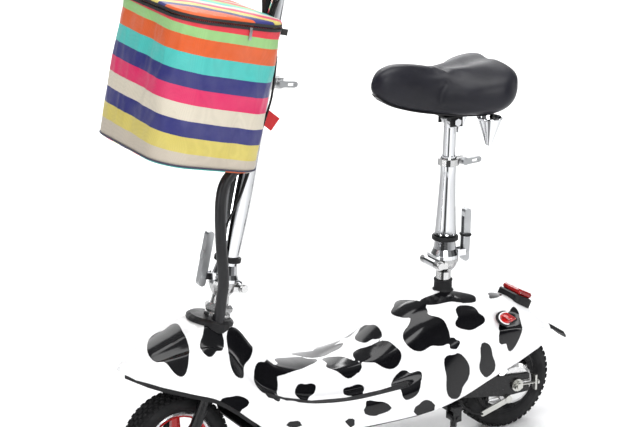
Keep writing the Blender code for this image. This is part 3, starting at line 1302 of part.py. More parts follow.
def make_handlebar(bar):
    """Inner stem tube, crossbar and the basket's hook plate, welded."""
    inner = rod((0.0, 0.0, INNER_TUBE_BOTTOM), (0.0, 0.0, BAR_UP + 0.004), INNER_TUBE_RADIUS, 18)
    cross = rod((0.0, -BAR_HALF_WIDTH, BAR_UP), (0.0, BAR_HALF_WIDTH, BAR_UP), BAR_RADIUS, 18)
    sleeve = rod((0.0, -0.032, BAR_UP), (0.0, 0.032, BAR_UP), BAR_SLEEVE_RADIUS, 18)
    bar_body = fuse(inner, cross, sleeve)
    rear_wall = BASKET_MIDDLE + BASKET_HALF_LENGTH
    hook = ring(INNER_TUBE_RADIUS + 0.004, INNER_TUBE_RADIUS - 0.002, HOOK_UP - HOOK_HALF_HEIGHT,
                HOOK_UP + HOOK_HALF_HEIGHT, 18)
    tongue_front = rear_wall + GAP + 0.001
    tongue_back = 0.002 - INNER_TUBE_RADIUS
    tongue = block(((tongue_front + tongue_back) / 2, 0.0, HOOK_UP),
                   (tongue_back - tongue_front, 0.030, 0.016))
    hook_plate = block((rear_wall + GAP + 0.0015, 0.0, HOOK_UP - 0.004), (0.003, 0.070, 0.032), 0.0006)
    column_bore = rod((0.0, 0.0, INNER_TUBE_BOTTOM - 0.01), (0.0, 0.0, BAR_UP - 0.020),
                      INNER_TUBE_RADIUS - TUBE_WALL, 12)
    cross_bore = rod((0.0, -BAR_HALF_WIDTH - 0.01, BAR_UP), (0.0, BAR_HALF_WIDTH + 0.01, BAR_UP),
                     BAR_RADIUS - TUBE_WALL, 12)
    bar_body = fuse(bar_body, hook, tongue, hook_plate)
    return node("handlebar", cut(bar_body, column_bore, cross_bore), chrome(), bar)


def make_grip(name, side, parent):
    """A ribbed rubber grip on one end of the bar."""
    start = BAR_HALF_WIDTH - GRIP_LENGTH
    profile = [(BAR_RADIUS + GAP, BAR_HALF_WIDTH), (GRIP_RADIUS, BAR_HALF_WIDTH)]
    for i in range(GRIP_RIBS):
        top = BAR_HALF_WIDTH - 0.004 - i * (GRIP_LENGTH - 0.008) / GRIP_RIBS
        profile += [(GRIP_RADIUS, top), (GRIP_RADIUS - 0.0012, top - 0.002),
                    (GRIP_RADIUS, top - 0.004)]
    profile += [(GRIP_RADIUS + 0.003, start + 0.003), (GRIP_RADIUS + 0.003, start),
                (BAR_RADIUS + GAP, start)]
    grip = turned(profile, 14, "Y")
    if side < 0:
        grip.data.transform(Matrix.Rotation(math.pi, 4, "Z"))
    grip.data.transform(Matrix.Translation((0.0, 0.0, BAR_UP)))
    return node(name, grip, rubber(), parent)


def make_perch(name, side, parent, with_button):
    """Brake lever perch: a bar clamp with the ear that carries the lever's pin."""
    y = side * PERCH_Y
    clamp = ring(BAR_RADIUS + 0.0055, BAR_RADIUS + GAP, -PERCH_HALF, PERCH_HALF, 14, "Y",
                 (0.0, y, BAR_UP))
    arm = block((-0.0180, y, LEVER_UP), (0.0125, 0.014, 0.013))
    ears = [block((LEVER_PIVOT_X, y + side * 0.001, LEVER_UP + half * 0.0053), (0.019, 0.017, 0.0030))
            for half in (-1, 1)]
    perch = fuse(clamp, arm, *ears)
    pin = rod((LEVER_PIN_X, y, LEVER_UP - 0.0072), (LEVER_PIN_X, y, LEVER_UP + 0.0072),
              LEVER_PIN_RADIUS, 8)
    perch = fuse(perch, pin)
    if with_button:
        button_y = side * BUTTON_Y
        box = block((BUTTON_X, button_y, BAR_UP + 0.0085), (0.026, 0.020, 0.018), 0.002)
        link = ring(BAR_RADIUS + 0.003, BAR_RADIUS + GAP, -0.016, 0.010, 14, "Y",
                    (0.0, y - side * 0.012, BAR_UP))
        bar_space = rod((0.0, y - 0.05, BAR_UP), (0.0, y + 0.05, BAR_UP), BAR_RADIUS + GAP, 16)
        well = rod((BUTTON_X, button_y, BUTTON_LOW - 0.003), (BUTTON_X, button_y, BAR_UP + 0.03),
                   BUTTON_RADIUS + 0.0004, 14)
        perch = fuse(perch, link, box)
        perch = cut(perch, bar_space, well)
    return node(name, perch, black_plastic(), parent)


def make_horn_button(button):
    """The horn button in its well on the left switch box."""
    cap = rod((BUTTON_X, -BUTTON_Y, BUTTON_LOW), (BUTTON_X, -BUTTON_Y, BUTTON_LOW + 0.005),
              BUTTON_RADIUS, 14)
    return node("horn_button", cap, red_lens(), button)


def make_brake_lever(name, side, parent):
    """A curved brake lever blade with its pivot boss and ball end."""
    y = side * PERCH_Y
    x = LEVER_PIN_X
    boss = rod((x, y, LEVER_UP - 0.0034), (x, y, LEVER_UP + 0.0034), 0.0062, 16)
    path = [(x - 0.002, y + side * 0.003, LEVER_UP), (x - 0.016, y + side * 0.022, LEVER_UP),
            (x - 0.021, y + side * 0.050, LEVER_UP), (x - 0.019, y + side * 0.080, LEVER_UP),
            (x - 0.016, y + side * 0.112, LEVER_UP)]
    blade = bent_tube(path, 0.0032, 1, True, 2)
    end = ball((x - 0.016, y + side * 0.114, LEVER_UP), 0.0062, 8)
    lever = fuse(boss, blade, end)
    hole = rod((x, y, LEVER_UP - 0.01), (x, y, LEVER_UP + 0.01), LEVER_PIN_RADIUS + RUNNING_GAP, 12)
    return node(name, cut(lever, hole), black_paint(), parent)


def make_headlight(bar):
    """The lamp above the bar and its tapered bracket in front of the stem."""
    rim = HEADLIGHT_RADIUS
    shell = turned([(0.0, 0.030), (0.012, 0.028), (0.0255, 0.014), (rim, -0.004), (rim, -0.020),
                    (0.0275, -0.020), (0.0255, -0.017), (0.0, -0.017)], 20, "X")
    shell.data.transform(Matrix.Translation((HEADLIGHT_X, 0.0, HEADLIGHT_UP)))
    neck = block((-0.0185, 0.0, BAR_UP + 0.0175), (0.016, 0.020, 0.022), 0.002)
    wedge_low = HOOK_UP + 2 * HOOK_HALF_HEIGHT + 0.001
    wedge_high = BAR_UP + 0.012
    wedge_rows = []
    back = -INNER_TUBE_RADIUS - GAP
    for share, half, front in ((0.0, 0.0045, 0.0025), (0.26, 0.0105, 0.0075), (0.56, 0.0165, 0.0125),
                               (1.0, 0.0190, 0.0150)):
        up = wedge_low + (wedge_high - wedge_low) * share
        wedge_rows.append([(back, -half, up), (back, half, up), (back - front, half * 0.8, up),
                           (back - front, -half * 0.8, up)])
    wedge = loft(wedge_rows)
    lamp = fuse(shell, neck, wedge)
    space = rod((0.0, -0.1, BAR_UP), (0.0, 0.1, BAR_UP), BAR_SLEEVE_RADIUS + GAP, 16)
    node("headlight_housing", cut(lamp, space), black_plastic(), bar)
    lens = turned([(0.0, 0.0025), (0.020, 0.0010), (0.0250, -0.0010), (0.0250, -0.0032),
                   (0.0, -0.0032)], 20, "X")
    lens.data.transform(Matrix.Rotation(math.pi, 4, "Z"))
    lens.data.transform(Matrix.Translation((HEADLIGHT_X - 0.0205, 0.0, HEADLIGHT_UP)))
    return node("headlight_lens", lens, clear_lens(), bar)


def make_basket(bar, lid_pivot):
    """The oval fabric basket, open at the top, and its zipped lid."""
    def outline(shrink, up, bulge=0.0):
        points = rounded_outline(BASKET_HALF_LENGTH - shrink + bulge, BASKET_HALF_WIDTH - shrink + bulge,
                                 BASKET_CORNER - shrink + bulge, 5, (BASKET_MIDDLE, 0.0))
        rear = BASKET_MIDDLE + BASKET_HALF_LENGTH - shrink
        return [(min(x, rear), y, up) for x, y in points]
    top = BASKET_BOTTOM + BASKET_HEIGHT
    outside = [outline(0.010, BASKET_BOTTOM), outline(0.001, BASKET_BOTTOM + 0.008),
               outline(0.0, BASKET_BOTTOM + 0.080, 0.002), outline(0.0, BASKET_BOTTOM + 0.170, 0.001),
               outline(0.0, top)]
    inside = [outline(BASKET_WALL, top), outline(BASKET_WALL, BASKET_BOTTOM + 0.170),
              outline(BASKET_WALL + 0.001, BASKET_BOTTOM + 0.012),
              outline(0.014, BASKET_BOTTOM + BASKET_FLOOR)]
    node("basket_bag", loft(outside + inside), fabric(), bar)
    edge = top + GAP
    lid = loft([outline(0.0015, edge), outline(0.0, edge + 0.003), outline(0.002, edge + 0.010),
                outline(0.030, edge + LID_RISE - 0.003), outline(0.055, edge + LID_RISE)])
    return node("basket_lid", lid, fabric(), lid_pivot)


def make_cables(steer):
    """The sheathed cable bundle with the thin brake cable that leaves it along the stem."""
    bundle = bent_tube(CABLE_ROUTE, CABLE_RADIUS, 2, True, 2)
    thin = bent_tube(THIN_CABLE_ROUTE, THIN_CABLE_RADIUS, 1, True, 2)
    return node("cable_bundle", fuse(bundle, thin), rubber(), steer)


# Seat, built upright in the seat post's coordinates

def make_seat_base(seat):
    """The lower fold casting on the seat mast, with its hinge pin in front."""
    return make_fold_base("seat_base", -1, SEAT_JOINT_UP - GAP, SEAT_BASE_BOTTOM + GAP,
                          -SEAT_HINGE_FRONT, SEAT_HINGE_UP, SEAT_NECK_RADIUS, cast_metal(), seat)


def make_seat_tube(fold):
    """The tapered seat tube with the bell casting of the fold joint at its foot."""
    up = SEAT_JOINT_UP
    bore = SEAT_POST_RADIUS + GAP
    foot = SEAT_TUBE_FOOT_RADIUS
    top = SEAT_TUBE_TOP + 0.022
    tube = turned([(bore, top), (SEAT_TUBE_TOP_RADIUS, top), (SEAT_TUBE_TOP_RADIUS, SEAT_TUBE_TOP - 0.025),
                   (foot - 0.0015, up + 0.060), (foot, up + 0.046), (foot - 0.002, up + 0.040),
                   (0.0215, up + 0.018), (TABLE_RADIUS, up + 0.007), (TABLE_RADIUS, up), (0.0, up),
                   (0.0, up + 0.026), (bore, up + 0.026)], 20)
    ears = latch_ears(0.0330, up + 0.0072)
    tube = fuse(tube, fold_barrel(-1, up, -SEAT_HINGE_FRONT, SEAT_HINGE_UP), *ears)
    hole = rod((-SEAT_HINGE_FRONT, -0.03, SEAT_HINGE_UP), (-SEAT_HINGE_FRONT, 0.03, SEAT_HINGE_UP),
               PIN_BORE, 16)
    return node("seat_tube", cut(tube, hole), chrome(), fold)


def make_seat_post(post):
    """The sliding inner post with the clamp head that grips the saddle."""
    tube = rod((0.0, 0.0, SEAT_POST_BOTTOM), (0.0, 0.0, SEAT_POST_TOP), SEAT_POST_RADIUS, 18)
    head = rod((0.0, -HEAD_HALF, CLAMP_HEAD_UP), (0.0, HEAD_HALF, CLAMP_HEAD_UP), 0.0115, 16)
    bolt = rod((0.0, -0.026, CLAMP_HEAD_UP), (0.0, 0.026, CLAMP_HEAD_UP), CLAMP_BOLT_RADIUS, 12)
    ends = [rod((0.0, side * (HEAD_HALF + 0.0045 + GAP), CLAMP_HEAD_UP),
                (0.0, side * (HEAD_HALF + 0.0095), CLAMP_HEAD_UP), 0.0075, 6) for side in (-1, 1)]
    bore = rod((0.0, 0.0, SEAT_POST_BOTTOM - 0.01), (0.0, 0.0, CLAMP_HEAD_UP - 0.016),
               SEAT_POST_RADIUS - TUBE_WALL, 12)
    return node("seat_post", cut(fuse(tube, head, bolt, *ends), bore), chrome(), post)


def saddle_ring(row, steps=12):
    """Return one closed cross-section of the cushion: crowned top, drawn-in sides."""
    place, half, top, side, under = row
    points = []
    for step in range(steps):
        angle = 2 * math.pi * step / steps
        c = math.cos(angle)
        s = math.sin(angle)
        y = half * math.copysign(abs(c) ** 0.75, c)
        if s >= 0:
            z = side + (top - side) * abs(s) ** 0.62
            z -= 0.005 * math.exp(-(y / 0.02) ** 2) * (1.0 if 0.14 < place < 0.26 else 0.3)
        else:
            z = side + (under - side) * abs(s) ** 0.8
            y *= 0.90
        points.append((SADDLE_NOSE_X + place, y, SADDLE_UP + z))
    return points


def make_saddle(post):
    """The padded cushion, the pan beneath it and the two conical springs."""
    cushion = loft([saddle_ring(row) for row in SADDLE_ROWS])
    soft = cushion.modifiers.new("Subsurf", "SUBSURF")
    soft.levels = 1
    soft.render_levels = 1
    cushion = baked(cushion)
    pan_rows = []
    for place, half, _, _, under in SADDLE_ROWS[1:-1]:
        width = half * 0.70
        bottom = under - PAN_DEPTH
        pan_rows.append([(SADDLE_NOSE_X + place, y, SADDLE_UP + z) for y, z in
                         ((-width, bottom + 0.006), (-width * 0.8, bottom), (width * 0.8, bottom),
                          (width, bottom + 0.006), (width * 0.96, bottom + 0.030),
                          (-width * 0.96, bottom + 0.030))])
    pan = loft(pan_rows)
    cheeks = []
    for side in (-1, 1):
        low = CLAMP_HEAD_UP - 0.008
        high = SADDLE_UP - 0.050
        cheeks.append(block((0.0, side * (HEAD_HALF + 0.0025), (low + high) / 2),
                            (0.026, 0.004, high - low)))
    pan = fuse(pan, *cheeks)
    bolt_hole = rod((0.0, -0.05, CLAMP_HEAD_UP), (0.0, 0.05, CLAMP_HEAD_UP), CLAMP_BOLT_RADIUS + GAP, 12)
    pan = cut(pan, bolt_hole)
    cut_shape = cushion.copy()
    cut_shape.data = cushion.data.copy()
    part_collection().objects.link(cut_shape)
    cut_shape.data.transform(Matrix.Translation((0.0, 0.0, -0.0006)))
    return cushion, pan, cut_shape


def make_saddle_spring(name, side, post, pan_shape):
    """One conical saddle spring cover, wide end up under the pan."""
    height = CONE_TOP - CONE_TIP
    cone = turned([(0.0, CONE_TOP + 0.010), (0.012, CONE_TOP + 0.010), (0.012, CONE_TOP),
                   (0.0215, CONE_TOP), (0.0235, CONE_TOP - 0.003), (0.0185, CONE_TOP - 0.30 * height),
                   (0.0120, CONE_TOP - 0.62 * height), (0.0060, CONE_TIP + 0.003), (0.0045, CONE_TIP),
                   (0.0, CONE_TIP)], 18)
    cone.data.transform(Matrix.Translation((CONE_X, side * CONE_Y, 0.0)))
    above = pan_shape.copy()
    above.data = pan_shape.data.copy()
    above.data.transform(Matrix.Translation((0.0, 0.0, -GAP)))
    part_collection().objects.link(above)
    return node(name, cut(cone, above), chrome(), post)


# Kickstand

def make_kickstand(stand):
    """The swinging leg with its barrel and its round foot."""
    x, y, z = KICKSTAND_PIVOT
    fx, fy = KICKSTAND_FOOT
    barrel = rod((x, y - 0.0102, z), (x, y + 0.0102, z), 0.0098, 18)
    leg = bent_tube([(x, y, z - 0.001), (x - 0.001, y - 0.001, z - 0.020), (x - 0.006, y - 0.016, z - 0.042),
                     (fx, fy, 0.008)], 0.0062, 1, True, 2)
    foot = rod((fx, fy, 0.0), (fx, fy, 0.006), 0.0135, 14)
    heel = rod((fx, fy, 0.005), (fx, fy, 0.012), 0.0110, 14, 0.0062)
    leg_body = fuse(barrel, leg, foot, heel)
    bore = rod((x, y - 0.02, z), (x, y + 0.02, z), KICKSTAND_BORE, 14)
    return node("kickstand_leg", cut(leg_body, bore), black_paint(), stand)


def main():
    """Build the whole scooter."""
    clear_scene()
    chassis = frame_at("chassis", (REAR_AXLE_X, 0.0, 0.0))
    column = frame_at("steering_column", (HEAD_X, 0.0, HEAD_Z), STEERING_LEAN, chassis)
    seat = frame_at("seat_column", (SEAT_X, 0.0, SEAT_Z), SEAT_LEAN, chassis)
    make_body_shell(chassis)
    make_belly_pan(chassis)
    make_front_fender(chassis)
    make_foot_strip("foot_strip_left", -1, chassis)
    make_foot_strip("foot_strip_right", 1, chassis)
    make_fairing_cap(column)
    make_seat_boot(seat)
    make_main_frame(chassis)
    make_battery(chassis)
    make_controller(chassis)
    make_drive_motor(chassis)
    make_chain(chassis)
    make_lamps(chassis)
    make_mud_flap(chassis)
    make_rear_axle(chassis)
    make_brake_housing(chassis)
    make_brake_cable(chassis)
    make_motor_pinion(pivot("pinion_pivot", chassis, (PINION_X, CHAIN_Y, PINION_Z)))
    brake = pivot("brake_arm_pivot", chassis, BRAKE_ARM_PIVOT)
    make_brake_arm(brake)
    make_kickstand(pivot("kickstand_pivot", chassis, KICKSTAND_PIVOT))
    rear = pivot("rear_wheel_pivot", chassis, (0.0, 0.0, AXLE_Z))
    make_tyre("rear_tyre", rear, (0.0, 0.0, AXLE_Z))
    make_rim("rear_rim", rear, (0.0, 0.0, AXLE_Z), black_paint(), -1)
    make_sprocket(rear)
    steer = pivot("steering_pivot", column, (0.0, 0.0, 0.0))
    make_fork(steer)
    make_front_axle(steer)
    make_head_nut(steer)
    make_stem_base(steer)
    make_cables(steer)
    front_axle = (FRONT_AXLE_X, 0.0, AXLE_Z)
    front = pivot("front_wheel_pivot", chassis, front_axle)
    make_tyre("front_tyre", front, front_axle)
    make_rim("front_rim", front, front_axle, red_paint(), 0)
    stem = pivot("stem_fold_pivot", column, (STEM_HINGE_BACK, 0.0, STEM_HINGE_UP))
    make_stem_tube(stem)
    make_clamp("stem_clamp", CLAMP_UP, CLAMP_HEIGHT, STEM_TUBE_RADIUS + GAP, CLAMP_RADIUS, 1, stem,
               chrome())
    make_latch("stem_latch", -1, STEM_LATCH_X, STEM_LATCH_UP, STEM_LATCH_LENGTH, LATCH_TAIL,
               pivot("stem_latch_pivot", column, (STEM_LATCH_X, 0.0, STEM_LATCH_UP)))
    lever_x = CLAMP_RADIUS + CLAMP_BOLT_OUT
    make_clamp_lever("stem_clamp_lever", lever_x, CLAMP_UP, 1, CLAMP_LEVER_REACH,
                     pivot("stem_clamp_pivot", column, (lever_x, 0.0, CLAMP_UP)))
    bar = pivot("bar_slide", column, (0.0, 0.0, BAR_UP))
    make_handlebar(bar)
    make_grip("grip_left", -1, bar)
    make_grip("throttle_grip", 1, pivot("throttle_pivot", column, (0.0, BAR_HALF_WIDTH, BAR_UP)))
    make_perch("brake_perch_left", -1, bar, True)
    make_perch("brake_perch_right", 1, bar, False)
    make_horn_button(pivot("horn_slide", column, (BUTTON_X, -BUTTON_Y, BAR_UP)))
    for name, side in (("brake_lever_left", -1), ("brake_lever_right", 1)):
        lever_pin = (LEVER_PIN_X, side * PERCH_Y, LEVER_UP)
        make_brake_lever(name, side, pivot(name + "_pivot", column, lever_pin))
    make_headlight(bar)
    make_basket(bar, pivot("lid_pivot", column, (BASKET_MIDDLE - BASKET_HALF_LENGTH, 0.0,
                                                   BASKET_BOTTOM + BASKET_HEIGHT)))
    make_seat_base(seat)
    fold = pivot("seat_fold_pivot", seat, (-SEAT_HINGE_FRONT, 0.0, SEAT_HINGE_UP))
    make_seat_tube(fold)
    make_clamp("seat_clamp", SEAT_CLAMP_UP, SEAT_CLAMP_HEIGHT, SEAT_TUBE_TOP_RADIUS + GAP,
               SEAT_CLAMP_RADIUS, 1, fold, chrome())
    make_latch("seat_latch", 1, SEAT_LATCH_X, SEAT_LATCH_UP, SEAT_LATCH_LENGTH, LATCH_TAIL,
               pivot("seat_latch_pivot", seat, (SEAT_LATCH_X, 0.0, SEAT_LATCH_UP)))
    seat_lever_x = SEAT_CLAMP_RADIUS + CLAMP_BOLT_OUT
    make_clamp_lever("seat_clamp_lever", seat_lever_x, SEAT_CLAMP_UP, 1, SEAT_CLAMP_LEVER_REACH,
                     pivot("seat_clamp_pivot", seat, (seat_lever_x, 0.0, SEAT_CLAMP_UP)))
    post = pivot("seat_slide", seat, (0.0, 0.0, SEAT_CLAMP_UP))
    make_seat_post(post)
    cushion, pan, space = make_saddle(post)
    pan = cut(pan, space)
    make_saddle_spring("saddle_spring_left", -1, post, pan)
    make_saddle_spring("saddle_spring_right", 1, post, pan)
    node("saddle_pan", pan, black_plastic(), post)
    node("saddle_cushion", cushion, leather(), post, 60)


main()
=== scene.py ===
"""Visual model of the seated electric scooter on its CAD frame.

Every piece but the sheathed bundle's three lengths and the thin cable rides on a CAD body.
Metres, +Z up, the front wheel towards -X and the rider's left at -Y.
"""
import logging
import math
import random
from dataclasses import dataclass
from enum import Enum

import bmesh
import bpy
from mathutils import Matrix, Vector, noise

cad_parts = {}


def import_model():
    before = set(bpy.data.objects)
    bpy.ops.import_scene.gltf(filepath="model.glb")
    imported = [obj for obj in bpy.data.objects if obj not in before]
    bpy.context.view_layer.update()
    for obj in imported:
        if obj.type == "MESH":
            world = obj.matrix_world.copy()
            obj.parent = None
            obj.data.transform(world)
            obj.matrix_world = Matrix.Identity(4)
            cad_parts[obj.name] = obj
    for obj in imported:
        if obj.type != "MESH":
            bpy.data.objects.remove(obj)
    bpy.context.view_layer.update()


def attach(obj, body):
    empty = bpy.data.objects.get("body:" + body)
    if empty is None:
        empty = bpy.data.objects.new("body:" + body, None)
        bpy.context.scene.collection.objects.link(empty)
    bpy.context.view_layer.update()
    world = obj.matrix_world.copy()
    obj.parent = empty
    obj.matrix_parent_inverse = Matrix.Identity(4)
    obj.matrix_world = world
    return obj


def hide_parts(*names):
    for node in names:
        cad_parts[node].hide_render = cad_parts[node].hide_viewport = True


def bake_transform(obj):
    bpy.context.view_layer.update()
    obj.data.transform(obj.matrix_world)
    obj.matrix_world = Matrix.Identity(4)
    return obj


LOG = logging.getLogger("scooter")

# The CAD's own coordinates: the steering and seat axes as frames in the row frame
AXLE_Z = 0.09951847
FRONT_AXLE = Vector((-0.3695, 0.0, AXLE_Z))
REAR_AXLE = Vector((0.3305, 0.0, AXLE_Z))
REAR_X = 0.3305
COLUMN = Matrix.Translation((-0.2815, 0.0, 0.332)) @ Matrix.Rotation(math.radians(12.2), 4, "Y")
SEAT = Matrix.Translation((0.1965, 0.0, 0.306)) @ Matrix.Rotation(math.radians(1.8), 4, "Y")
UPRIGHT = Matrix.Identity(4)

Object = bpy.types.Object
Material = bpy.types.Material
Socket = bpy.types.NodeSocket


class Pattern(Enum):
    """The surface detail that a finish carries."""

    SMOOTH = "smooth"
    GRAIN = "grain"
    BRUSHED = "brushed"
    PITTED = "pitted"


@dataclass(frozen=True)
class Finish:
    """One surface finish: its colour, its gloss and the detail on it."""

    name: str
    colour: tuple
    roughness: float
    metallic: float = 0.0
    pattern: Pattern = Pattern.SMOOTH
    scale: float = 300.0
    bump: float = 0.05
    vary: float = 0.12
    coat: float = 0.0


CHROME = Finish("chrome", (0.86, 0.87, 0.89), 0.07, 1.0, Pattern.SMOOTH, 60.0, 0.010, 0.10)
CASTING = Finish("casting", (0.70, 0.70, 0.70), 0.24, 1.0, Pattern.PITTED, 420.0, 0.05, 0.25)
ALLOY = Finish("alloy", (0.50, 0.51, 0.52), 0.34, 1.0, Pattern.BRUSHED, 500.0, 0.04, 0.25)
ZINC = Finish("zinc", (0.56, 0.56, 0.53), 0.30, 1.0, Pattern.PITTED, 300.0, 0.04, 0.35)
BLACK_PAINT = Finish("black_metal", (0.006, 0.006, 0.007), 0.26, 0.0, Pattern.GRAIN, 900.0, 0.03, 0.3, 0.15)
BLACK_PLASTIC = Finish("black_plastic", (0.006, 0.006, 0.007), 0.40, 0.0, Pattern.GRAIN, 1500.0, 0.10, 0.3)
RUBBER = Finish("rubber", (0.010, 0.010, 0.011), 0.62, 0.0, Pattern.GRAIN, 700.0, 0.08, 0.35)
TYRE = Finish("tyre", (0.011, 0.011, 0.012), 0.68, 0.0, Pattern.GRAIN, 420.0, 0.12, 0.45)
RED_PAINT = Finish("red_metal", (0.52, 0.012, 0.012), 0.22, 0.0, Pattern.GRAIN, 700.0, 0.02, 0.2, 0.6)
WHITE_PLASTIC = Finish("white_plastic", (0.86, 0.86, 0.87), 0.14, 0.0, Pattern.SMOOTH, 80.0, 0.01, 0.08, 0.5)


class Tree:
    """A material's node tree with short calls to build it."""

    def __init__(self, name: str) -> None:
        """Start an empty material that ends in a Principled shader.

        Args:
            name: the material's name.
        """
        self.material = bpy.data.materials.new(name)
        self.material.use_nodes = True
        self.nodes = self.material.node_tree.nodes
        self.links = self.material.node_tree.links
        self.shader = self.nodes["Principled BSDF"]
        self.coordinates = self.add("ShaderNodeTexCoord").outputs["Object"]

    def add(self, kind: str, **settings: object) -> bpy.types.Node:
        """Add a node and set its properties.

        Args:
            kind: the node's type name.
            **settings: attributes of the node.

        Returns:
            The new node.
        """
        node = self.nodes.new(kind)
        for key, value in settings.items():
            setattr(node, key, value)
        return node

    def link(self, output: Socket, socket: Socket) -> None:
        """Join an output to an input socket."""
        self.links.new(output, socket)

    def feed(self, socket: Socket, value: object) -> None:
        """Give a socket an output, a number or a plain colour; None leaves it.

        Args:
            socket: the input socket.
            value: an output, a number, a colour or None.
        """
        if isinstance(value, bpy.types.NodeSocket):
            self.link(value, socket)
        elif isinstance(value, tuple) and socket.type == "RGBA":
            socket.default_value = (*value, 1.0)
        elif value is not None:
            socket.default_value = value

    def texture(self, kind: str, vector: Socket = None, inputs: dict = None, **settings: object) -> object:
        """Add a texture over the object's own coordinates, or over another vector.

        Args:
            kind: the texture's name.
            vector: where it is read, if not at the object's coordinates.
            inputs: its socket values by name.
            **settings: attributes of the node.

        Returns:
            The node's outputs.
        """
        node = self.add("ShaderNodeTex" + kind, **settings)
        for name, value in (inputs or {}).items():
            node.inputs[name].default_value = value
        self.link(vector or self.coordinates, node.inputs["Vector"])
        return node.outputs

    def noise(self, scale: float, detail: float = 3.0, roughness: float = 0.55, vector: Socket = None) -> Socket:
        """Return a noise value."""
        return self.texture("Noise", vector, {"Scale": scale, "Detail": detail, "Roughness": roughness})["Fac"]

    def wave(self, axis: str, scale: float, distortion: float = 0.0) -> Socket:
        """Return the value of straight bands across one axis."""
        inputs = {"Scale": scale, "Distortion": distortion}
        return self.texture("Wave", None, inputs, wave_type="BANDS", bands_direction=axis)["Fac"]

    def ramp(self, value: Socket, stops: list, smooth: bool = True) -> Socket:
        """Return a colour from a value through a colour ramp.

        Args:
            value: the place on the ramp.
            stops: pairs of place and colour.
            smooth: whether the colours blend.

        Returns:
            The colour.
        """
        node = self.add("ShaderNodeValToRGB")
        node.color_ramp.interpolation = "LINEAR" if smooth else "CONSTANT"
        points = node.color_ramp.elements
        while len(points) > 1:
            points.remove(points[0])
        points[0].position = stops[0][0]
        points[0].color = (*stops[0][1], 1.0)
        for place, colour in stops[1:]:
            point = points.new(place)
            point.color = (*colour, 1.0)
        self.link(value, node.inputs["Fac"])
        return node.outputs["Color"]

    def span(self, value: Socket, low: float, high: float, to_low: float = 0.0, to_high: float = 1.0,
             smooth: bool = False) -> Socket:
        """Return a value carried from one range to another, clamped.

        Args:
            value: the value.
            low: the first range's start.
            high: the first range's end.
            to_low: the second range's start.
            to_high: the second range's end.
            smooth: whether it eases in and out.

        Returns:
            The carried value.
        """
        node = self.add("ShaderNodeMapRange")
        if smooth:
            node.interpolation_type = "SMOOTHSTEP"
        for name, number in (("From Min", low), ("From Max", high), ("To Min", to_low), ("To Max", to_high)):
            node.inputs[name].default_value = number
        self.link(value, node.inputs["Value"])
        return node.outputs["Result"]

    def mix(self, factor: object, low: object, high: object, blend: str = "MIX") -> Socket:
        """Return a mix of two colours; each is an output or a plain colour.

        Args:
            factor: the share of the second colour.
            low: the first colour.
            high: the second colour.
            blend: how they are mixed.

        Returns:
            The mixed colour.
        """
        node = self.add("ShaderNodeMix", data_type="RGBA", blend_type=blend)
        for slot, value in ((0, factor), (6, low), (7, high)):
            self.feed(node.inputs[slot], value)
        return node.outputs[2]

    def math(self, operation: str, first: object, second: object = None) -> Socket:
        """Return the result of a math node on outputs or numbers.

        Args:
            operation: the operation's name.
            first: an output or a number.
            second: the same, if it takes two.

        Returns:
            The result.
        """
        node = self.add("ShaderNodeMath", operation=operation)
        for socket, value in zip(node.inputs, (first, second)):
            self.feed(socket, value)
        return node.outputs[0]

    def attribute(self, name: str) -> Socket:
        """Return a named mesh attribute as a value."""
        return self.add("ShaderNodeAttribute", attribute_name=name).outputs["Fac"]

    def bump(self, height: Socket, strength: float, distance: float = 0.001, below: Socket = None) -> Socket:
        """Add a bump to the shader, on top of another one if given.

        Args:
            height: the height.
            strength: the bump's strength.
            distance: its depth in metres.
            below: another bump's normal.

        Returns:
            The bumped normal.
        """
        node = self.add("ShaderNodeBump")
        node.inputs["Strength"].default_value = strength
        node.inputs["Distance"].default_value = distance
        self.link(height, node.inputs["Height"])
        if below is not None:
            self.link(below, node.inputs["Normal"])
        self.link(node.outputs["Normal"], self.shader.inputs["Normal"])
        return node.outputs["Normal"]

    def set(self, **values: float) -> None:
        """Set the shader's own sockets, with underscores for spaces."""
        for key, value in values.items():
            self.shader.inputs[key.replace("_", " ")].default_value = value

    def colour(self, value: Socket) -> None:
        """Link the shader's colour."""
        self.link(value, self.shader.inputs["Base Color"])

    def gloss(self, low: float, high: float, scale: float, detail: float = 3.0, top: float = 0.7) -> None:
        """Let the shader's roughness wander between two values over a noise."""
        self.link(self.span(self.noise(scale, detail), 0.3, top, low, high), self.shader.inputs["Roughness"])


def stretched(tree: Tree, factors: tuple) -> Socket:
    """Return the object's coordinates scaled differently on each axis.

    Args:
        tree: the material's Tree.
        factors: the scale on each axis.

    Returns:
        The scaled coordinates.
    """
    node = tree.add("ShaderNodeMapping")
    node.inputs["Scale"].default_value = factors
    tree.link(tree.coordinates, node.inputs["Vector"])
    return node.outputs["Vector"]


MADE = {}


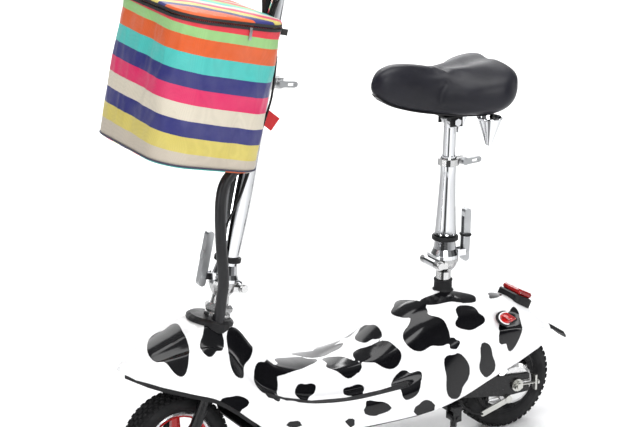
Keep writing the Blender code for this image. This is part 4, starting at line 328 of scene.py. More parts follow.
def plain(finish: Finish) -> Material:
    """Return the material of a finish, made once.

    Args:
        finish: the Finish to build.

    Returns:
        The material.
    """
    if finish.name in MADE:
        return MADE[finish.name]
    tree = Tree(finish.name)
    wide = tree.noise(14.0, 4.0)
    shade = 1.0 - finish.vary
    dark = tuple(c * shade for c in finish.colour)
    # Smooth metals (roughness below 0.32) get painted reflections in their colour; other finishes a random tone
    if finish.metallic and finish.roughness < 0.32:
        colour = painted_reflections(tree, finish.colour)
    else:
        colour = tree.mix(tree.span(wide, 0.35, 0.70), finish.colour, dark)
    tree.colour(colour)
    tree.gloss(finish.roughness * 0.8, min(1.0, finish.roughness * 1.35), 45.0, 5.0, 0.75)
    tree.set(Metallic=finish.metallic, Coat_Weight=finish.coat, Coat_Roughness=0.05)
    if not finish.metallic and max(finish.colour) < 0.05:
        tree.set(Specular_IOR_Level=0.28)
    if finish.pattern is Pattern.BRUSHED:
        fine = tree.noise(finish.scale, 2.0, 0.5, stretched(tree, (1.0, 1.0, 0.06)))
    elif finish.pattern is Pattern.PITTED:
        fine = tree.texture("Voronoi", None, {"Scale": finish.scale})["Distance"]
    else:
        fine = tree.noise(finish.scale, 3.0, 0.6)
    tree.bump(fine, finish.bump, 0.0006)
    MADE[finish.name] = tree.material
    return tree.material


def wheel_paint() -> Material:
    """The front wheel's red paint, worn to bright metal at the rim's outer edge.

    Returns:
        The material.
    """
    tree = Tree("red_wheel")
    split = tree.add("ShaderNodeSeparateXYZ")
    tree.link(tree.coordinates, split.inputs["Vector"])
    across = tree.math("SUBTRACT", split.outputs["X"], FRONT_AXLE.x)
    up = tree.math("SUBTRACT", split.outputs["Z"], FRONT_AXLE.z)
    radius = tree.math("SQRT", tree.math("ADD", tree.math("MULTIPLY", across, across),
                                         tree.math("MULTIPLY", up, up)))
    lip = tree.span(radius, 0.0605, 0.0612, smooth=True)
    paint = tree.mix(tree.noise(30.0, 4.0), (0.50, 0.010, 0.010), (0.36, 0.008, 0.010))
    tree.colour(tree.mix(lip, paint, (0.72, 0.72, 0.73)))
    tree.link(lip, tree.shader.inputs["Metallic"])
    tree.gloss(0.18, 0.30, 60.0)
    tree.bump(tree.noise(600.0), 0.02, 0.0005)
    return tree.material


def cow_shell() -> Material:
    """Glossy white plastic with black spots whose edges come from the mesh's spot attribute.

    Returns:
        The material.
    """
    tree = Tree("cow_shell")
    edge = tree.math("ADD", tree.attribute("spot"),
                     tree.math("MULTIPLY", tree.math("SUBTRACT", tree.noise(230.0, 2.0), 0.5), 0.0014))
    inside = tree.span(edge, -0.0003, 0.0003, 1.0, 0.0, True)
    white = tree.mix(tree.span(tree.noise(9.0, 3.0), 0.35, 0.7), (0.88, 0.88, 0.89), (0.83, 0.83, 0.84))
    tree.colour(tree.mix(inside, white, (0.004, 0.004, 0.005)))
    tree.gloss(0.10, 0.19, 70.0, 4.0, 0.75)
    tree.set(Coat_Weight=0.12, Coat_Roughness=0.04, Specular_IOR_Level=0.30)
    wave = tree.bump(tree.noise(26.0, 2.0), 0.03, 0.002)
    tree.bump(tree.noise(900.0, 2.0), 0.015, 0.0003, wave)
    return tree.material


def lens(name: str, colour: tuple, clear: float = 0.35) -> Material:
    """A ribbed moulded lens.

    Args:
        name: the material's name.
        colour: its colour.
        clear: how much light goes through.

    Returns:
        The material.
    """
    tree = Tree(name)
    ribs = tree.wave("Y", 70.0)
    tree.colour(tree.mix(ribs, colour, tuple(c * 0.45 for c in colour)))
    tree.gloss(0.05, 0.12, 50.0)
    tree.set(Coat_Weight=0.3, Coat_Roughness=0.03, Transmission_Weight=clear)
    tree.bump(ribs, 0.25, 0.0006)
    return tree.material


def leather() -> Material:
    """Black seat leather with fine grain, creases and a soft sheen.

    Returns:
        The material.
    """
    tree = Tree("leather")
    cells = tree.texture("Voronoi", None, {"Scale": 430.0}, feature="DISTANCE_TO_EDGE")
    tree.colour(tree.mix(tree.span(tree.noise(12.0, 4.0), 0.35, 0.7), (0.005, 0.005, 0.009), (0.010, 0.010, 0.016)))
    tree.gloss(0.34, 0.48, 40.0, 4.0, 0.75)
    tree.set(Specular_IOR_Level=0.30)
    creases = tree.bump(tree.noise(55.0, 5.0, 0.6), 0.10, 0.002)
    tree.bump(tree.span(cells["Distance"], 0.0, 0.12), 0.16, 0.0004, creases)
    return tree.material


# The bag's bands from its rim down: the band's depth below the rim, then its colour
CORAL = (0.66, 0.030, 0.050)
GREEN = (0.28, 0.52, 0.19)
ORANGE = (0.64, 0.095, 0.012)
TURQUOISE = (0.055, 0.47, 0.43)
NAVY = (0.014, 0.016, 0.150)
MAGENTA = (0.64, 0.008, 0.105)
CREAM = (0.63, 0.57, 0.46)
YELLOW = (0.60, 0.50, 0.115)
BEIGE = (0.50, 0.44, 0.36)
BANDS = ((0.000, CORAL), (0.012, GREEN), (0.029, ORANGE), (0.058, TURQUOISE), (0.087, NAVY),
         (0.114, MAGENTA), (0.141, CREAM), (0.169, NAVY), (0.196, YELLOW), (0.224, BEIGE))


def striped(name: str, bands: tuple, attribute: str, reach: float) -> Material:
    """Woven striped cloth whose bands follow a mesh attribute.

    Args:
        name: the material's name.
        bands: pairs of place and colour, in metres along the attribute.
        attribute: the attribute's name.
        reach: the attribute's largest value, in metres.

    Returns:
        The material.
    """
    tree = Tree(name)
    place = tree.attribute(attribute)
    wander = tree.math("MULTIPLY", tree.math("SUBTRACT", tree.noise(6.0, 2.0), 0.5), 0.003)
    along = tree.span(tree.math("ADD", place, wander), 0.0, reach)
    colour = tree.ramp(along, [(depth / reach, shade) for depth, shade in bands], smooth=False)
    threads = [tree.wave(axis, 210.0, 0.6) for axis in ("X", "Y", "Z")]
    weave = tree.math("MAXIMUM", tree.math("MULTIPLY", threads[0], threads[2]),
                      tree.math("MULTIPLY", threads[1], threads[2]))
    fade = tree.mix(tree.span(tree.noise(18.0, 4.0), 0.3, 0.75, 0.0, 0.06), colour, (0.75, 0.72, 0.68))
    gaps = tree.ramp(weave, [(0.0, (0.55, 0.55, 0.55)), (0.6, (1.0, 1.0, 1.0))])
    tree.colour(tree.mix(0.35, fade, gaps, "MULTIPLY"))
    tree.gloss(0.42, 0.60, 60.0)
    tree.set(Sheen_Weight=0.10, Sheen_Roughness=0.35, Specular_IOR_Level=0.35)
    folds = tree.bump(tree.noise(24.0, 4.0), 0.22, 0.006)
    tree.bump(weave, 0.22, 0.0005, folds)
    return tree.material


def webbing(name: str, colour: tuple) -> Material:
    """Ribbed woven tape, for the strap and the zip.

    Args:
        name: the material's name.
        colour: its colour.

    Returns:
        The material.
    """
    tree = Tree(name)
    ribs = tree.wave("Z", 260.0, 1.5)
    tree.colour(tree.mix(ribs, tuple(c * 0.55 for c in colour), colour))
    tree.gloss(0.55, 0.75, 80.0)
    tree.bump(ribs, 0.3, 0.0005)
    return tree.material


def sheath() -> Material:
    """The smooth soft sleeve round the cables, with the faint lengthwise creases of what it holds.

    Returns:
        The material.
    """
    tree = Tree("sheath")
    creases = tree.noise(150.0, 3.0, 0.5, stretched(tree, (1.0, 1.0, 0.08)))
    tree.colour(tree.mix(tree.span(creases, 0.35, 0.7), (0.004, 0.004, 0.005), (0.010, 0.010, 0.012)))
    tree.gloss(0.30, 0.46, 50.0, 4.0, 0.75)
    tree.set(Specular_IOR_Level=0.4)
    tree.bump(creases, 0.30, 0.0015)
    return tree.material


def painted_reflections(tree: Tree, colour: tuple) -> Socket:
    """Paint reflected light and shade into polished metal's colour by the way it faces: painted reflections of a
    studio's dark and bright sides.

    Args:
        tree: the material's Tree.
        colour: the metal's own colour.

    Returns:
        The shaded colour's socket.
    """
    split = tree.add("ShaderNodeSeparateXYZ")
    tree.link(tree.add("ShaderNodeTexCoord").outputs["Normal"], split.inputs["Vector"])
    # Painted reflection: bright and dark bands by the way the surface turns round the vertical
    turn = tree.math("ARCTAN2", split.outputs["Y"], split.outputs["X"])
    share = tree.span(turn, -math.pi, math.pi)
    bands = tree.ramp(share, [(place, (level, level, level)) for place, level in PAINTED_REFLECTION_LEVELS])
    # Painted reflection: faces that point up or down take an even 0.75 in place of the bands
    flat = tree.math("MULTIPLY", split.outputs["Z"], split.outputs["Z"])
    lit = tree.mix(flat, (1.0, 1.0, 1.0), (0.75, 0.75, 0.75))
    return tree.mix(1.0, colour, tree.mix(flat, bands, lit), "MULTIPLY")


# Painted reflections: how bright polished metal's colour is painted by its facing, from pointing back through the near
# side and round
PAINTED_REFLECTION_LEVELS = ((0.00, 0.42), (0.05, 0.85), (0.120, 0.90), (0.134, 0.07), (0.156, 0.06), (0.172, 0.88), (0.25, 0.95),
          (0.30, 0.62), (0.36, 0.40), (0.41, 0.12), (0.47, 0.45), (0.55, 0.88), (0.64, 0.90), (0.66, 0.08),
          (0.69, 0.07), (0.71, 0.88), (0.85, 0.90), (0.91, 0.16), (1.00, 0.42))


# Mesh helpers

def placed(name: str, data: bpy.types.ID) -> Object:
    """Make an object of some data in the scene.

    Args:
        name: the object's name.
        data: its mesh, curve, camera or light.

    Returns:
        The new object.
    """
    made = bpy.data.objects.new(name, data)
    bpy.context.scene.collection.objects.link(made)
    return made


def finished(name: str, mesh: object, material: Material = None, sharp: float = 40.0) -> Object:
    """Make an object of a mesh, with its material and smooth shading.

    Args:
        name: the object's name.
        mesh: its mesh, or a bmesh to make the mesh from.
        material: its only material; raw stock has none and stays flat.
        sharp: the angle in degrees from which an edge stays sharp.

    Returns:
        The new object.
    """
    if isinstance(mesh, bmesh.types.BMesh):
        shape, mesh = mesh, bpy.data.meshes.new(name)
        shape.to_mesh(mesh)
        shape.free()
    if material:
        mesh.materials.clear()
        mesh.materials.append(material)
        shade(mesh, sharp)
    return placed(name, mesh)


def shade(mesh: bpy.types.Mesh, sharp: float) -> None:
    """Shade a mesh smooth, but for edges from an angle in degrees."""
    mesh.shade_smooth()
    mesh.set_sharp_from_angle(angle=math.radians(sharp))


def add_object(name: str, verts: list, faces: list, material: Material) -> Object:
    """Make a mesh object from plain lists.

    Args:
        name: the object's name.
        verts: points in the row frame.
        faces: tuples of point numbers.
        material: its material.

    Returns:
        The new object.
    """
    mesh = bpy.data.meshes.new(name)
    mesh.from_pydata([tuple(v) for v in verts], [], faces)
    mesh.validate()
    shape = bmesh.new()
    shape.from_mesh(mesh)
    bmesh.ops.recalc_face_normals(shape, faces=shape.faces)
    shape.to_mesh(mesh)
    shape.free()
    return finished(name, mesh, material)


def ring_faces(rows: int, size: int, loop: bool = False) -> list:
    """Return the faces between closed rings of points, and a cap on each end or a last row to the first.

    Args:
        rows: how many rings.
        size: how many points each has.
        loop: whether the last ring meets the first.

    Returns:
        Tuples of point numbers.
    """
    faces = [(i * size + j, i * size + k, (i + 1) % rows * size + k, (i + 1) % rows * size + j)
             for i in range(rows if loop else rows - 1) for j, k in zip(range(size), [*range(1, size), 0])]
    if not loop:
        faces += [tuple(range(size)), tuple(range((rows - 1) * size, rows * size))]
    return faces


def mark(item: Object, name: str, values: list) -> None:
    """Store a value for each point of an object as a mesh attribute."""
    item.data.attributes.new(name, "FLOAT", "POINT").data.foreach_set("value", values)


def eased(a: object, b: object, c: object, d: object, t: float) -> object:
    """Return the point between b and c on a smooth curve through four points or numbers."""
    return 0.5 * ((2 * b) + (c - a) * t + (2 * a - 5 * b + 4 * c - d) * t ** 2
                  + (3 * b - a - 3 * c + d) * t ** 3)


def put(piece: Object, body: str, *nodes: str, slot: str = None) -> None:
    """Let a finished piece ride on a body and stand for its CAD nodes.

    Args:
        piece: the finished piece.
        body: the body's name.
        *nodes: the nodes it stands for.
        slot: not used.
    """
    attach(piece, body)
    if nodes:
        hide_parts(*nodes)


def curve_points(points: list, between: int) -> list:
    """Return points on a smooth curve through the given ones.

    Args:
        points: the points to go through.
        between: how many steps from one to the next.

    Returns:
        The curve's points.
    """
    points = [Vector(p) for p in points]
    ends = [2 * points[0] - points[1]] + points + [2 * points[-1] - points[-2]]
    path = []
    for a, b, c, d in zip(ends, ends[1:], ends[2:], ends[3:]):
        for step in range(between):
            path.append(eased(a, b, c, d, step / between))
    path.append(points[-1].copy())
    return path


def tube(name: str, path: list, radius: object, material: Material, sides: int = 20, place: Matrix = UPRIGHT,
         closed: bool = False) -> Object:
    """Make a round tube along a path.

    Args:
        name: the piece's name.
        path: points along its middle.
        radius: one radius, or a function of the share of the way along.
        material: its material.
        sides: how many sides it has.
        place: the frame that the path is given in.
        closed: whether its ends meet.

    Returns:
        The tube's object.
    """
    path = [place @ Vector(p) for p in path]
    count = len(path)
    verts = []
    across = None
    for i, spot in enumerate(path):
        after = path[(i + 1) % count] if closed or i + 1 < count else spot
        before = path[i - 1] if closed or i > 0 else spot
        heading = (after - before).normalized()
        if across is None:
            across = heading.orthogonal().normalized()
        across = (across - heading * across.dot(heading)).normalized()
        up = heading.cross(across)
        reach = radius(i / (count - 1)) if callable(radius) else radius
        for side in range(sides):
            angle = 2 * math.pi * side / sides
            verts.append(spot + across * (reach * math.cos(angle)) + up * (reach * math.sin(angle)))
    return add_object(name, verts, ring_faces(count, sides, closed), material)


def lathe(name: str, profile: list, material: Material, place: Matrix = UPRIGHT, steps: int = 64,
          along: str = "Z", sharp: float = 40.0) -> Object:
    """Make a turned piece from (radius, height) points; it closes on the axis or on itself.

    Args:
        name: the piece's name.
        profile: the points.
        material: its material.
        place: the frame that it turns in.
        steps: how many steps it turns in.
        along: its axis, Y or Z.
        sharp: the angle from which an edge stays sharp.

    Returns:
        The piece's object.
    """
    ring = profile[0][0] > 1e-6 or profile[-1][0] > 1e-6
    frame = place @ Matrix.Rotation(math.radians(-90), 4, "X") if along == "Y" else place
    verts, faces = [], []
    for step in range(steps):
        angle = 2 * math.pi * step / steps
        verts += [frame @ Vector((r * math.cos(angle), r * math.sin(angle), h)) for r, h in profile]
    size = len(profile)
    for step in range(steps):
        nxt = (step + 1) % steps
        for i in range(size if ring else size - 1):
            j = (i + 1) % size
            faces.append((step * size + i, step * size + j, nxt * size + j, nxt * size + i))
    made = add_object(name, verts, faces, material)
    shape = bmesh.new()
    shape.from_mesh(made.data)
    bmesh.ops.remove_doubles(shape, verts=shape.verts, dist=1e-6)
    bmesh.ops.dissolve_degenerate(shape, edges=shape.edges, dist=1e-7)
    bmesh.ops.recalc_face_normals(shape, faces=shape.faces)
    shape.to_mesh(made.data)
    shape.free()
    shade(made.data, sharp)
    return made


def rounded(points: list, radius: float = 0.0012, steps: int = 3) -> list:
    """Return a profile with its inner corners rounded off.

    Args:
        points: the profile.
        radius: the corners' radius.
        steps: how many steps each has.

    Returns:
        The new profile.
    """
    result = [points[0]]
    for before, spot, after in zip(points, points[1:], points[2:]):
        before, spot, after = Vector(before), Vector(spot), Vector(after)
        reach = min(radius, (spot - before).length / 2.1, (after - spot).length / 2.1)
        start = spot + (before - spot).normalized() * reach
        end = spot + (after - spot).normalized() * reach
        for step in range(steps + 1):
            t = step / steps
            result.append(tuple((1 - t) ** 2 * start + 2 * t * (1 - t) * spot + t ** 2 * end))
    result.append(points[-1])
    return result


def joined(name: str, objects: list, material: Material) -> Object:
    """Join pieces of one material into one object.

    Args:
        name: the new object's name.
        objects: the pieces, which are removed.
        material: their material.

    Returns:
        The new object.
    """
    shape = bmesh.new()
    for item in objects:
        mesh = item.data.copy()
        mesh.transform(item.matrix_world)
        shape.from_mesh(mesh)
        bpy.data.meshes.remove(mesh)
    for item in objects:
        bpy.data.objects.remove(item, do_unlink=True)
    return finished(name, shape, material)


def evaluated(item: Object) -> bpy.types.Mesh:
    """Return an object's mesh with its modifiers applied."""
    bpy.context.view_layer.update()
    return bpy.data.meshes.new_from_object(item.evaluated_get(bpy.context.evaluated_depsgraph_get()))


def bake(item: Object) -> None:
    """Apply an object's modifiers to its own mesh.

    Args:
        item: the object.
    """
    mesh, old = evaluated(item), item.data
    item.modifiers.clear()
    item.data = mesh
    if old.users == 0:
        bpy.data.meshes.remove(old)


def bolt(name: str, spot: tuple, side: int, place: Matrix, radius: float = 0.0062, height: float = 0.0042,
         steps: int = 24) -> Object:
    """Make a bolt head with a hex socket that faces left or right.

    Args:
        name: the piece's name.
        spot: its seat.
        side: -1 to face left, 1 to face right.
        place: the frame that the spot is given in.
        radius: the head's radius.
        height: the head's height.
        steps: how many sides it has.

    Returns:
        The bolt's object.
    """
    shape = bmesh.new()
    outer = [(radius, 0.0), (radius, height * 0.75), (radius * 0.86, height)]
    hexagon = [(None, height), (None, height * 0.35)]
    rows = []
    for reach, up in outer + hexagon:
        row = []
        for i in range(steps):
            angle = 2 * math.pi * i / steps
            flat = max(math.cos((angle + math.pi / 6) % (math.pi / 3) - math.pi / 6), 0.8)
            out = reach or radius * 0.52 / flat
            row.append(shape.verts.new((out * math.cos(angle), out * math.sin(angle), up)))
        rows.append(row)
    for low, high in zip(rows, rows[1:]):
        for i in range(steps):
            j = (i + 1) % steps
            shape.faces.new((low[i], low[j], high[j], high[i]))
    shape.faces.new(rows[-1])
    shape.faces.new(list(reversed(rows[0])))
    turn = Vector((0.0, side, 0.0)).to_track_quat("Z", "Y").to_matrix().to_4x4()
    shape.transform(place @ Matrix.Translation(spot) @ turn)
    bmesh.ops.recalc_face_normals(shape, faces=shape.faces)
    return finished(name, shape, plain(CASTING), 35)


def repeat_tree() -> bpy.types.NodeTree:
    """Build the node group that sets copies of a block along a curve.

    Returns:
        The node group.
    """
    found = bpy.data.node_groups.get("repeat_along")
    if found:
        return found
    group = bpy.data.node_groups.new("repeat_along", "GeometryNodeTree")
    for name, way, kind in (("Geometry", "INPUT", "Geometry"), ("Block", "INPUT", "Object"), ("Count", "INPUT", "Int"),
                            ("Material", "INPUT", "Material"), ("Geometry", "OUTPUT", "Geometry")):
        group.interface.new_socket(name, in_out=way, socket_type="NodeSocket" + kind)
    inside, outside, normals, points, info, copies, real, paint = [group.nodes.new(kind) for kind in (
        "NodeGroupInput", "NodeGroupOutput", "GeometryNodeSetCurveNormal", "GeometryNodeCurveToPoints",
        "GeometryNodeObjectInfo", "GeometryNodeInstanceOnPoints", "GeometryNodeRealizeInstances",
        "GeometryNodeSetMaterial")]
    normals.mode = "Z_UP"
    points.mode = "COUNT"
    for start, output, end, socket in (
            (inside, "Geometry", normals, "Curve"), (normals, "Curve", points, "Curve"),
            (inside, "Count", points, "Count"), (inside, "Block", info, "Object"),
            (points, "Points", copies, "Points"), (points, "Rotation", copies, "Rotation"),
            (info, "Geometry", copies, "Instance"), (copies, "Instances", real, "Geometry"),
            (real, "Geometry", paint, "Geometry"), (inside, "Material", paint, "Material"),
            (paint, "Geometry", outside, "Geometry")):
        group.links.new(start.outputs[output], end.inputs[socket])
    return group


def repeated(name: str, path: list, block: Object, count: int, material: Material,
             place: Matrix = UPRIGHT) -> Object:
    """Set copies of a block along a closed path in the XY plane and return them as one mesh.

    The block's Z runs along the path and its X lies in the path's plane, pointing outward.

    Args:
        name: the piece's name.
        path: points in the XY plane, or near it.
        block: the object to copy; it is removed afterwards.
        count: how many copies.
        material: their material.
        place: where the finished mesh goes.

    Returns:
        The finished object.
    """
    curve = bpy.data.curves.new(name, "CURVE")
    curve.dimensions = "3D"
    line = curve.splines.new("POLY")
    line.points.add(len(path) - 1)
    line.use_cyclic_u = True
    for spot, point in zip(line.points, path):
        spot.co = (*point, 1.0) if len(point) == 3 else (point[0], point[1], 0.0, 1.0)
    item = placed(name, curve)
    step = item.modifiers.new("repeat", "NODES")
    step.node_group = repeat_tree()
    keys = {socket.name: socket.identifier for socket in step.node_group.interface.items_tree
            if socket.in_out == "INPUT"}
    step[keys["Block"]] = block
    step[keys["Count"]] = count
    step[keys["Material"]] = material
    mesh = evaluated(item)
    mesh.transform(place)
    made = finished(name, mesh, material, 35)
    bpy.data.objects.remove(item, do_unlink=True)
    bpy.data.objects.remove(block, do_unlink=True)
    return made


def brick(size: tuple, bevel: float, centre: tuple = (0.0, 0.0, 0.0)) -> Object:
    """Make a bevelled block as raw stock for repeated pieces.

    Args:
        size: its size on each axis.
        bevel: how wide its edges are rounded.
        centre: its middle.

    Returns:
        The block's object.
    """
    shape = bmesh.new()
    bmesh.ops.create_cube(shape, size=1.0)
    shape.transform(Matrix.Translation(centre) @ Matrix.Diagonal((*size, 1.0)))
    bmesh.ops.bevel(shape, geom=shape.edges[:], offset=bevel, segments=2, affect="EDGES", profile=0.7)
    return finished("brick", shape)


# Body shell

SHELL_ROWS = (
    (-0.806, 0.269, 0.006, 0.2675, 0.009, 0.265, 0.011, 0.262, 0.012, 0.2590),
    (-0.792, 0.277, 0.015, 0.2745, 0.024, 0.269, 0.032, 0.261, 0.036, 0.2530),
    (-0.755, 0.295, 0.027, 0.2915, 0.046, 0.278, 0.062, 0.259, 0.069, 0.2430),
    (-0.710, 0.314, 0.034, 0.3100, 0.060, 0.287, 0.082, 0.255, 0.092, 0.2300),
    (-0.668, 0.330, 0.037, 0.3260, 0.066, 0.292, 0.092, 0.249, 0.105, 0.2160),
    (-0.630, 0.327, 0.039, 0.3230, 0.067, 0.278, 0.096, 0.230, 0.112, 0.1900),
    (-0.592, 0.316, 0.041, 0.3100, 0.067, 0.238, 0.100, 0.204, 0.115, 0.1580),
    (-0.562, 0.278, 0.046, 0.2700, 0.070, 0.206, 0.106, 0.188, 0.116, 0.1340),
    (-0.525, 0.243, 0.054, 0.2340, 0.075, 0.186, 0.112, 0.177, 0.117, 0.1220),
    (-0.470, 0.224, 0.060, 0.2140, 0.078, 0.168, 0.116, 0.165, 0.119, 0.1150),
    (-0.3975, 0.214, 0.062, 0.2040, 0.079, 0.160, 0.117, 0.157, 0.119, 0.1110),
    (-0.325, 0.226, 0.062, 0.2080, 0.079, 0.161, 0.115, 0.156, 0.116, 0.1080),
    (-0.270, 0.260, 0.064, 0.2260, 0.084, 0.170, 0.108, 0.157, 0.111, 0.1060),
    (-0.215, 0.290, 0.066, 0.2560, 0.091, 0.190, 0.101, 0.160, 0.105, 0.1060),
    (-0.150, 0.300, 0.067, 0.2720, 0.092, 0.218, 0.098, 0.176, 0.099, 0.1170),
    (-0.080, 0.291, 0.065, 0.2660, 0.087, 0.222, 0.091, 0.184, 0.091, 0.1380),
    (-0.010, 0.270, 0.059, 0.2500, 0.077, 0.218, 0.079, 0.190, 0.078, 0.1540),
    (0.045, 0.241, 0.049, 0.2260, 0.062, 0.206, 0.064, 0.189, 0.063, 0.1670),
    (0.088, 0.208, 0.036, 0.1990, 0.044, 0.191, 0.045, 0.184, 0.045, 0.1760),
)
SHELL_WALL = 0.003

# Each spot: its middle, then half its width and half its height as directions on the shell
SPOTS = (
    ((-0.393, -0.026, 0.306), (0.025, -0.025, 0.004), (0.024, 0.047, 0.023)),
    ((-0.319, -0.051, 0.306), (0.021, -0.001, -0.004), (0.009, 0.018, 0.025)),
    ((-0.267, -0.053, 0.278), (0.026, 0.005, -0.007), (0.010, 0.017, 0.045)),
    ((-0.217, -0.063, 0.215), (0.023, 0.001, -0.005), (0.008, 0.015, 0.038)),
    ((-0.311, -0.018, 0.328), (0.008, 0.000, -0.001), (0.009, 0.018, 0.000)),
    ((-0.307, -0.109, 0.201), (0.027, 0.002, -0.006), (0.004, 0.007, 0.016)),
    ((-0.187, -0.115, 0.144), (0.020, -0.001, -0.004), (0.000, 0.001, 0.007)),
    ((-0.075, -0.118, 0.125), (0.010, 0.000, -0.002), (0.000, 0.000, 0.009)),
    ((-0.019, -0.116, 0.141), (0.028, 0.001, -0.006), (0.000, 0.001, 0.015)),
    ((-0.143, -0.030, 0.223), (0.051, 0.015, -0.015), (0.015, 0.028, 0.000)),
    ((-0.068, 0.016, 0.213), (0.051, -0.009, -0.007), (0.011, 0.019, -0.002)),
    ((-0.052, -0.046, 0.211), (0.030, -0.018, 0.000), (0.012, 0.020, 0.005)),
    ((-0.142, -0.071, 0.182), (0.021, 0.000, -0.004), (0.003, 0.005, 0.014)),
    ((-0.041, -0.077, 0.165), (0.023, -0.002, -0.004), (0.003, 0.005, 0.009)),
    ((0.031, -0.001, 0.240), (0.013, -0.023, 0.005), (0.013, 0.022, 0.010)),
    ((0.106, -0.019, 0.283), (0.019, -0.026, 0.005), (0.013, 0.021, 0.010)),
    ((0.023, -0.055, 0.218), (0.038, -0.018, -0.001), (0.009, 0.015, 0.019)),
    ((0.118, -0.069, 0.248), (0.040, -0.007, -0.005), (0.006, 0.010, 0.035)),
    ((0.210, -0.071, 0.260), (0.033, -0.001, -0.005), (0.005, 0.008, 0.020)),
    ((0.167, -0.086, 0.222), (0.011, -0.003, -0.001), (0.003, 0.005, 0.009)),
    ((0.166, -0.099, 0.164), (0.026, 0.001, -0.005), (-0.001, 0.001, 0.046)),
    ((0.238, -0.092, 0.176), (0.020, 0.002, -0.004), (-0.001, 0.000, 0.032)),
    ((0.303, -0.076, 0.225), (0.026, 0.002, -0.006), (0.016, 0.026, 0.030)),
    ((0.062, -0.094, 0.164), (0.027, -0.004, -0.004), (0.014, 0.022, 0.011)),
    ((0.093, -0.107, 0.113), (0.028, 0.003, -0.006), (0.000, 0.001, 0.015)),
    ((0.190, -0.034, 0.294), (0.052, -0.007, -0.007), (0.011, 0.017, 0.007)),
    ((0.301, -0.021, 0.275), (0.022, 0.009, -0.007), (0.010, 0.015, -0.003)),
)


@dataclass
class Spot:
    """One black spot: an uneven oval on the shell."""

    middle: Vector
    right: Vector
    up: Vector
    turn: float

    def __post_init__(self) -> None:
        """Prepare what the distance needs."""
        self.out = self.right.cross(self.up).normalized()
        self.size = (self.right.length + self.up.length) / 2
        self.rr = self.right.dot(self.right)
        self.uu = self.up.dot(self.up)
        self.ru = self.right.dot(self.up)
        self.det = self.rr * self.uu - self.ru ** 2
        self.far = 2.2 * max(self.right.length, self.up.length)

    def distance(self, point: Vector) -> float:
        """Return how far a point is outside the spot's edge, in metres.

        Args:
            point: a point on the shell.

        Returns:
            The distance, below zero inside.
        """
        away = point - self.middle
        if away.length > self.far + 0.02:
            return away.length - self.far / 2.2
        a0, b0 = away.dot(self.right), away.dot(self.up)
        a = (a0 * self.uu - b0 * self.ru) / self.det
        b = (b0 * self.rr - a0 * self.ru) / self.det
        deep = away.dot(self.out) / (self.size * 1.6)
        angle = math.atan2(b, a)
        edge = 0.99 + 0.10 * math.sin(2 * angle + self.turn) + 0.12 * math.sin(3 * angle + 2.1 * self.turn) \
            + 0.06 * math.sin(5 * angle + 3.7 * self.turn)
        square = (abs(a) ** 2.15 + abs(b) ** 2.15) ** 0.4651
        return (math.hypot(square, deep) - edge) * self.size


def all_spots() -> list:
    """Return the spots of the near side, and shifted ones for the far side.

    Returns:
        The spots.
    """
    dice = random.Random(7)
    spots = []
    for middle, right, up in SPOTS:
        right, up = Vector(right), Vector(up)
        spots.append(Spot(Vector(middle), right, up, dice.uniform(0, 6.28)))
        if middle[1] < -0.045:
            flip = Vector((1.0, -1.0, 1.0))
            shift = Vector((0.022, 0.0, 0.0))
            spots.append(Spot(Vector(middle) * flip + shift, right * flip * 0.95, up * flip * 0.95,
                              dice.uniform(0, 6.28)))
    return spots


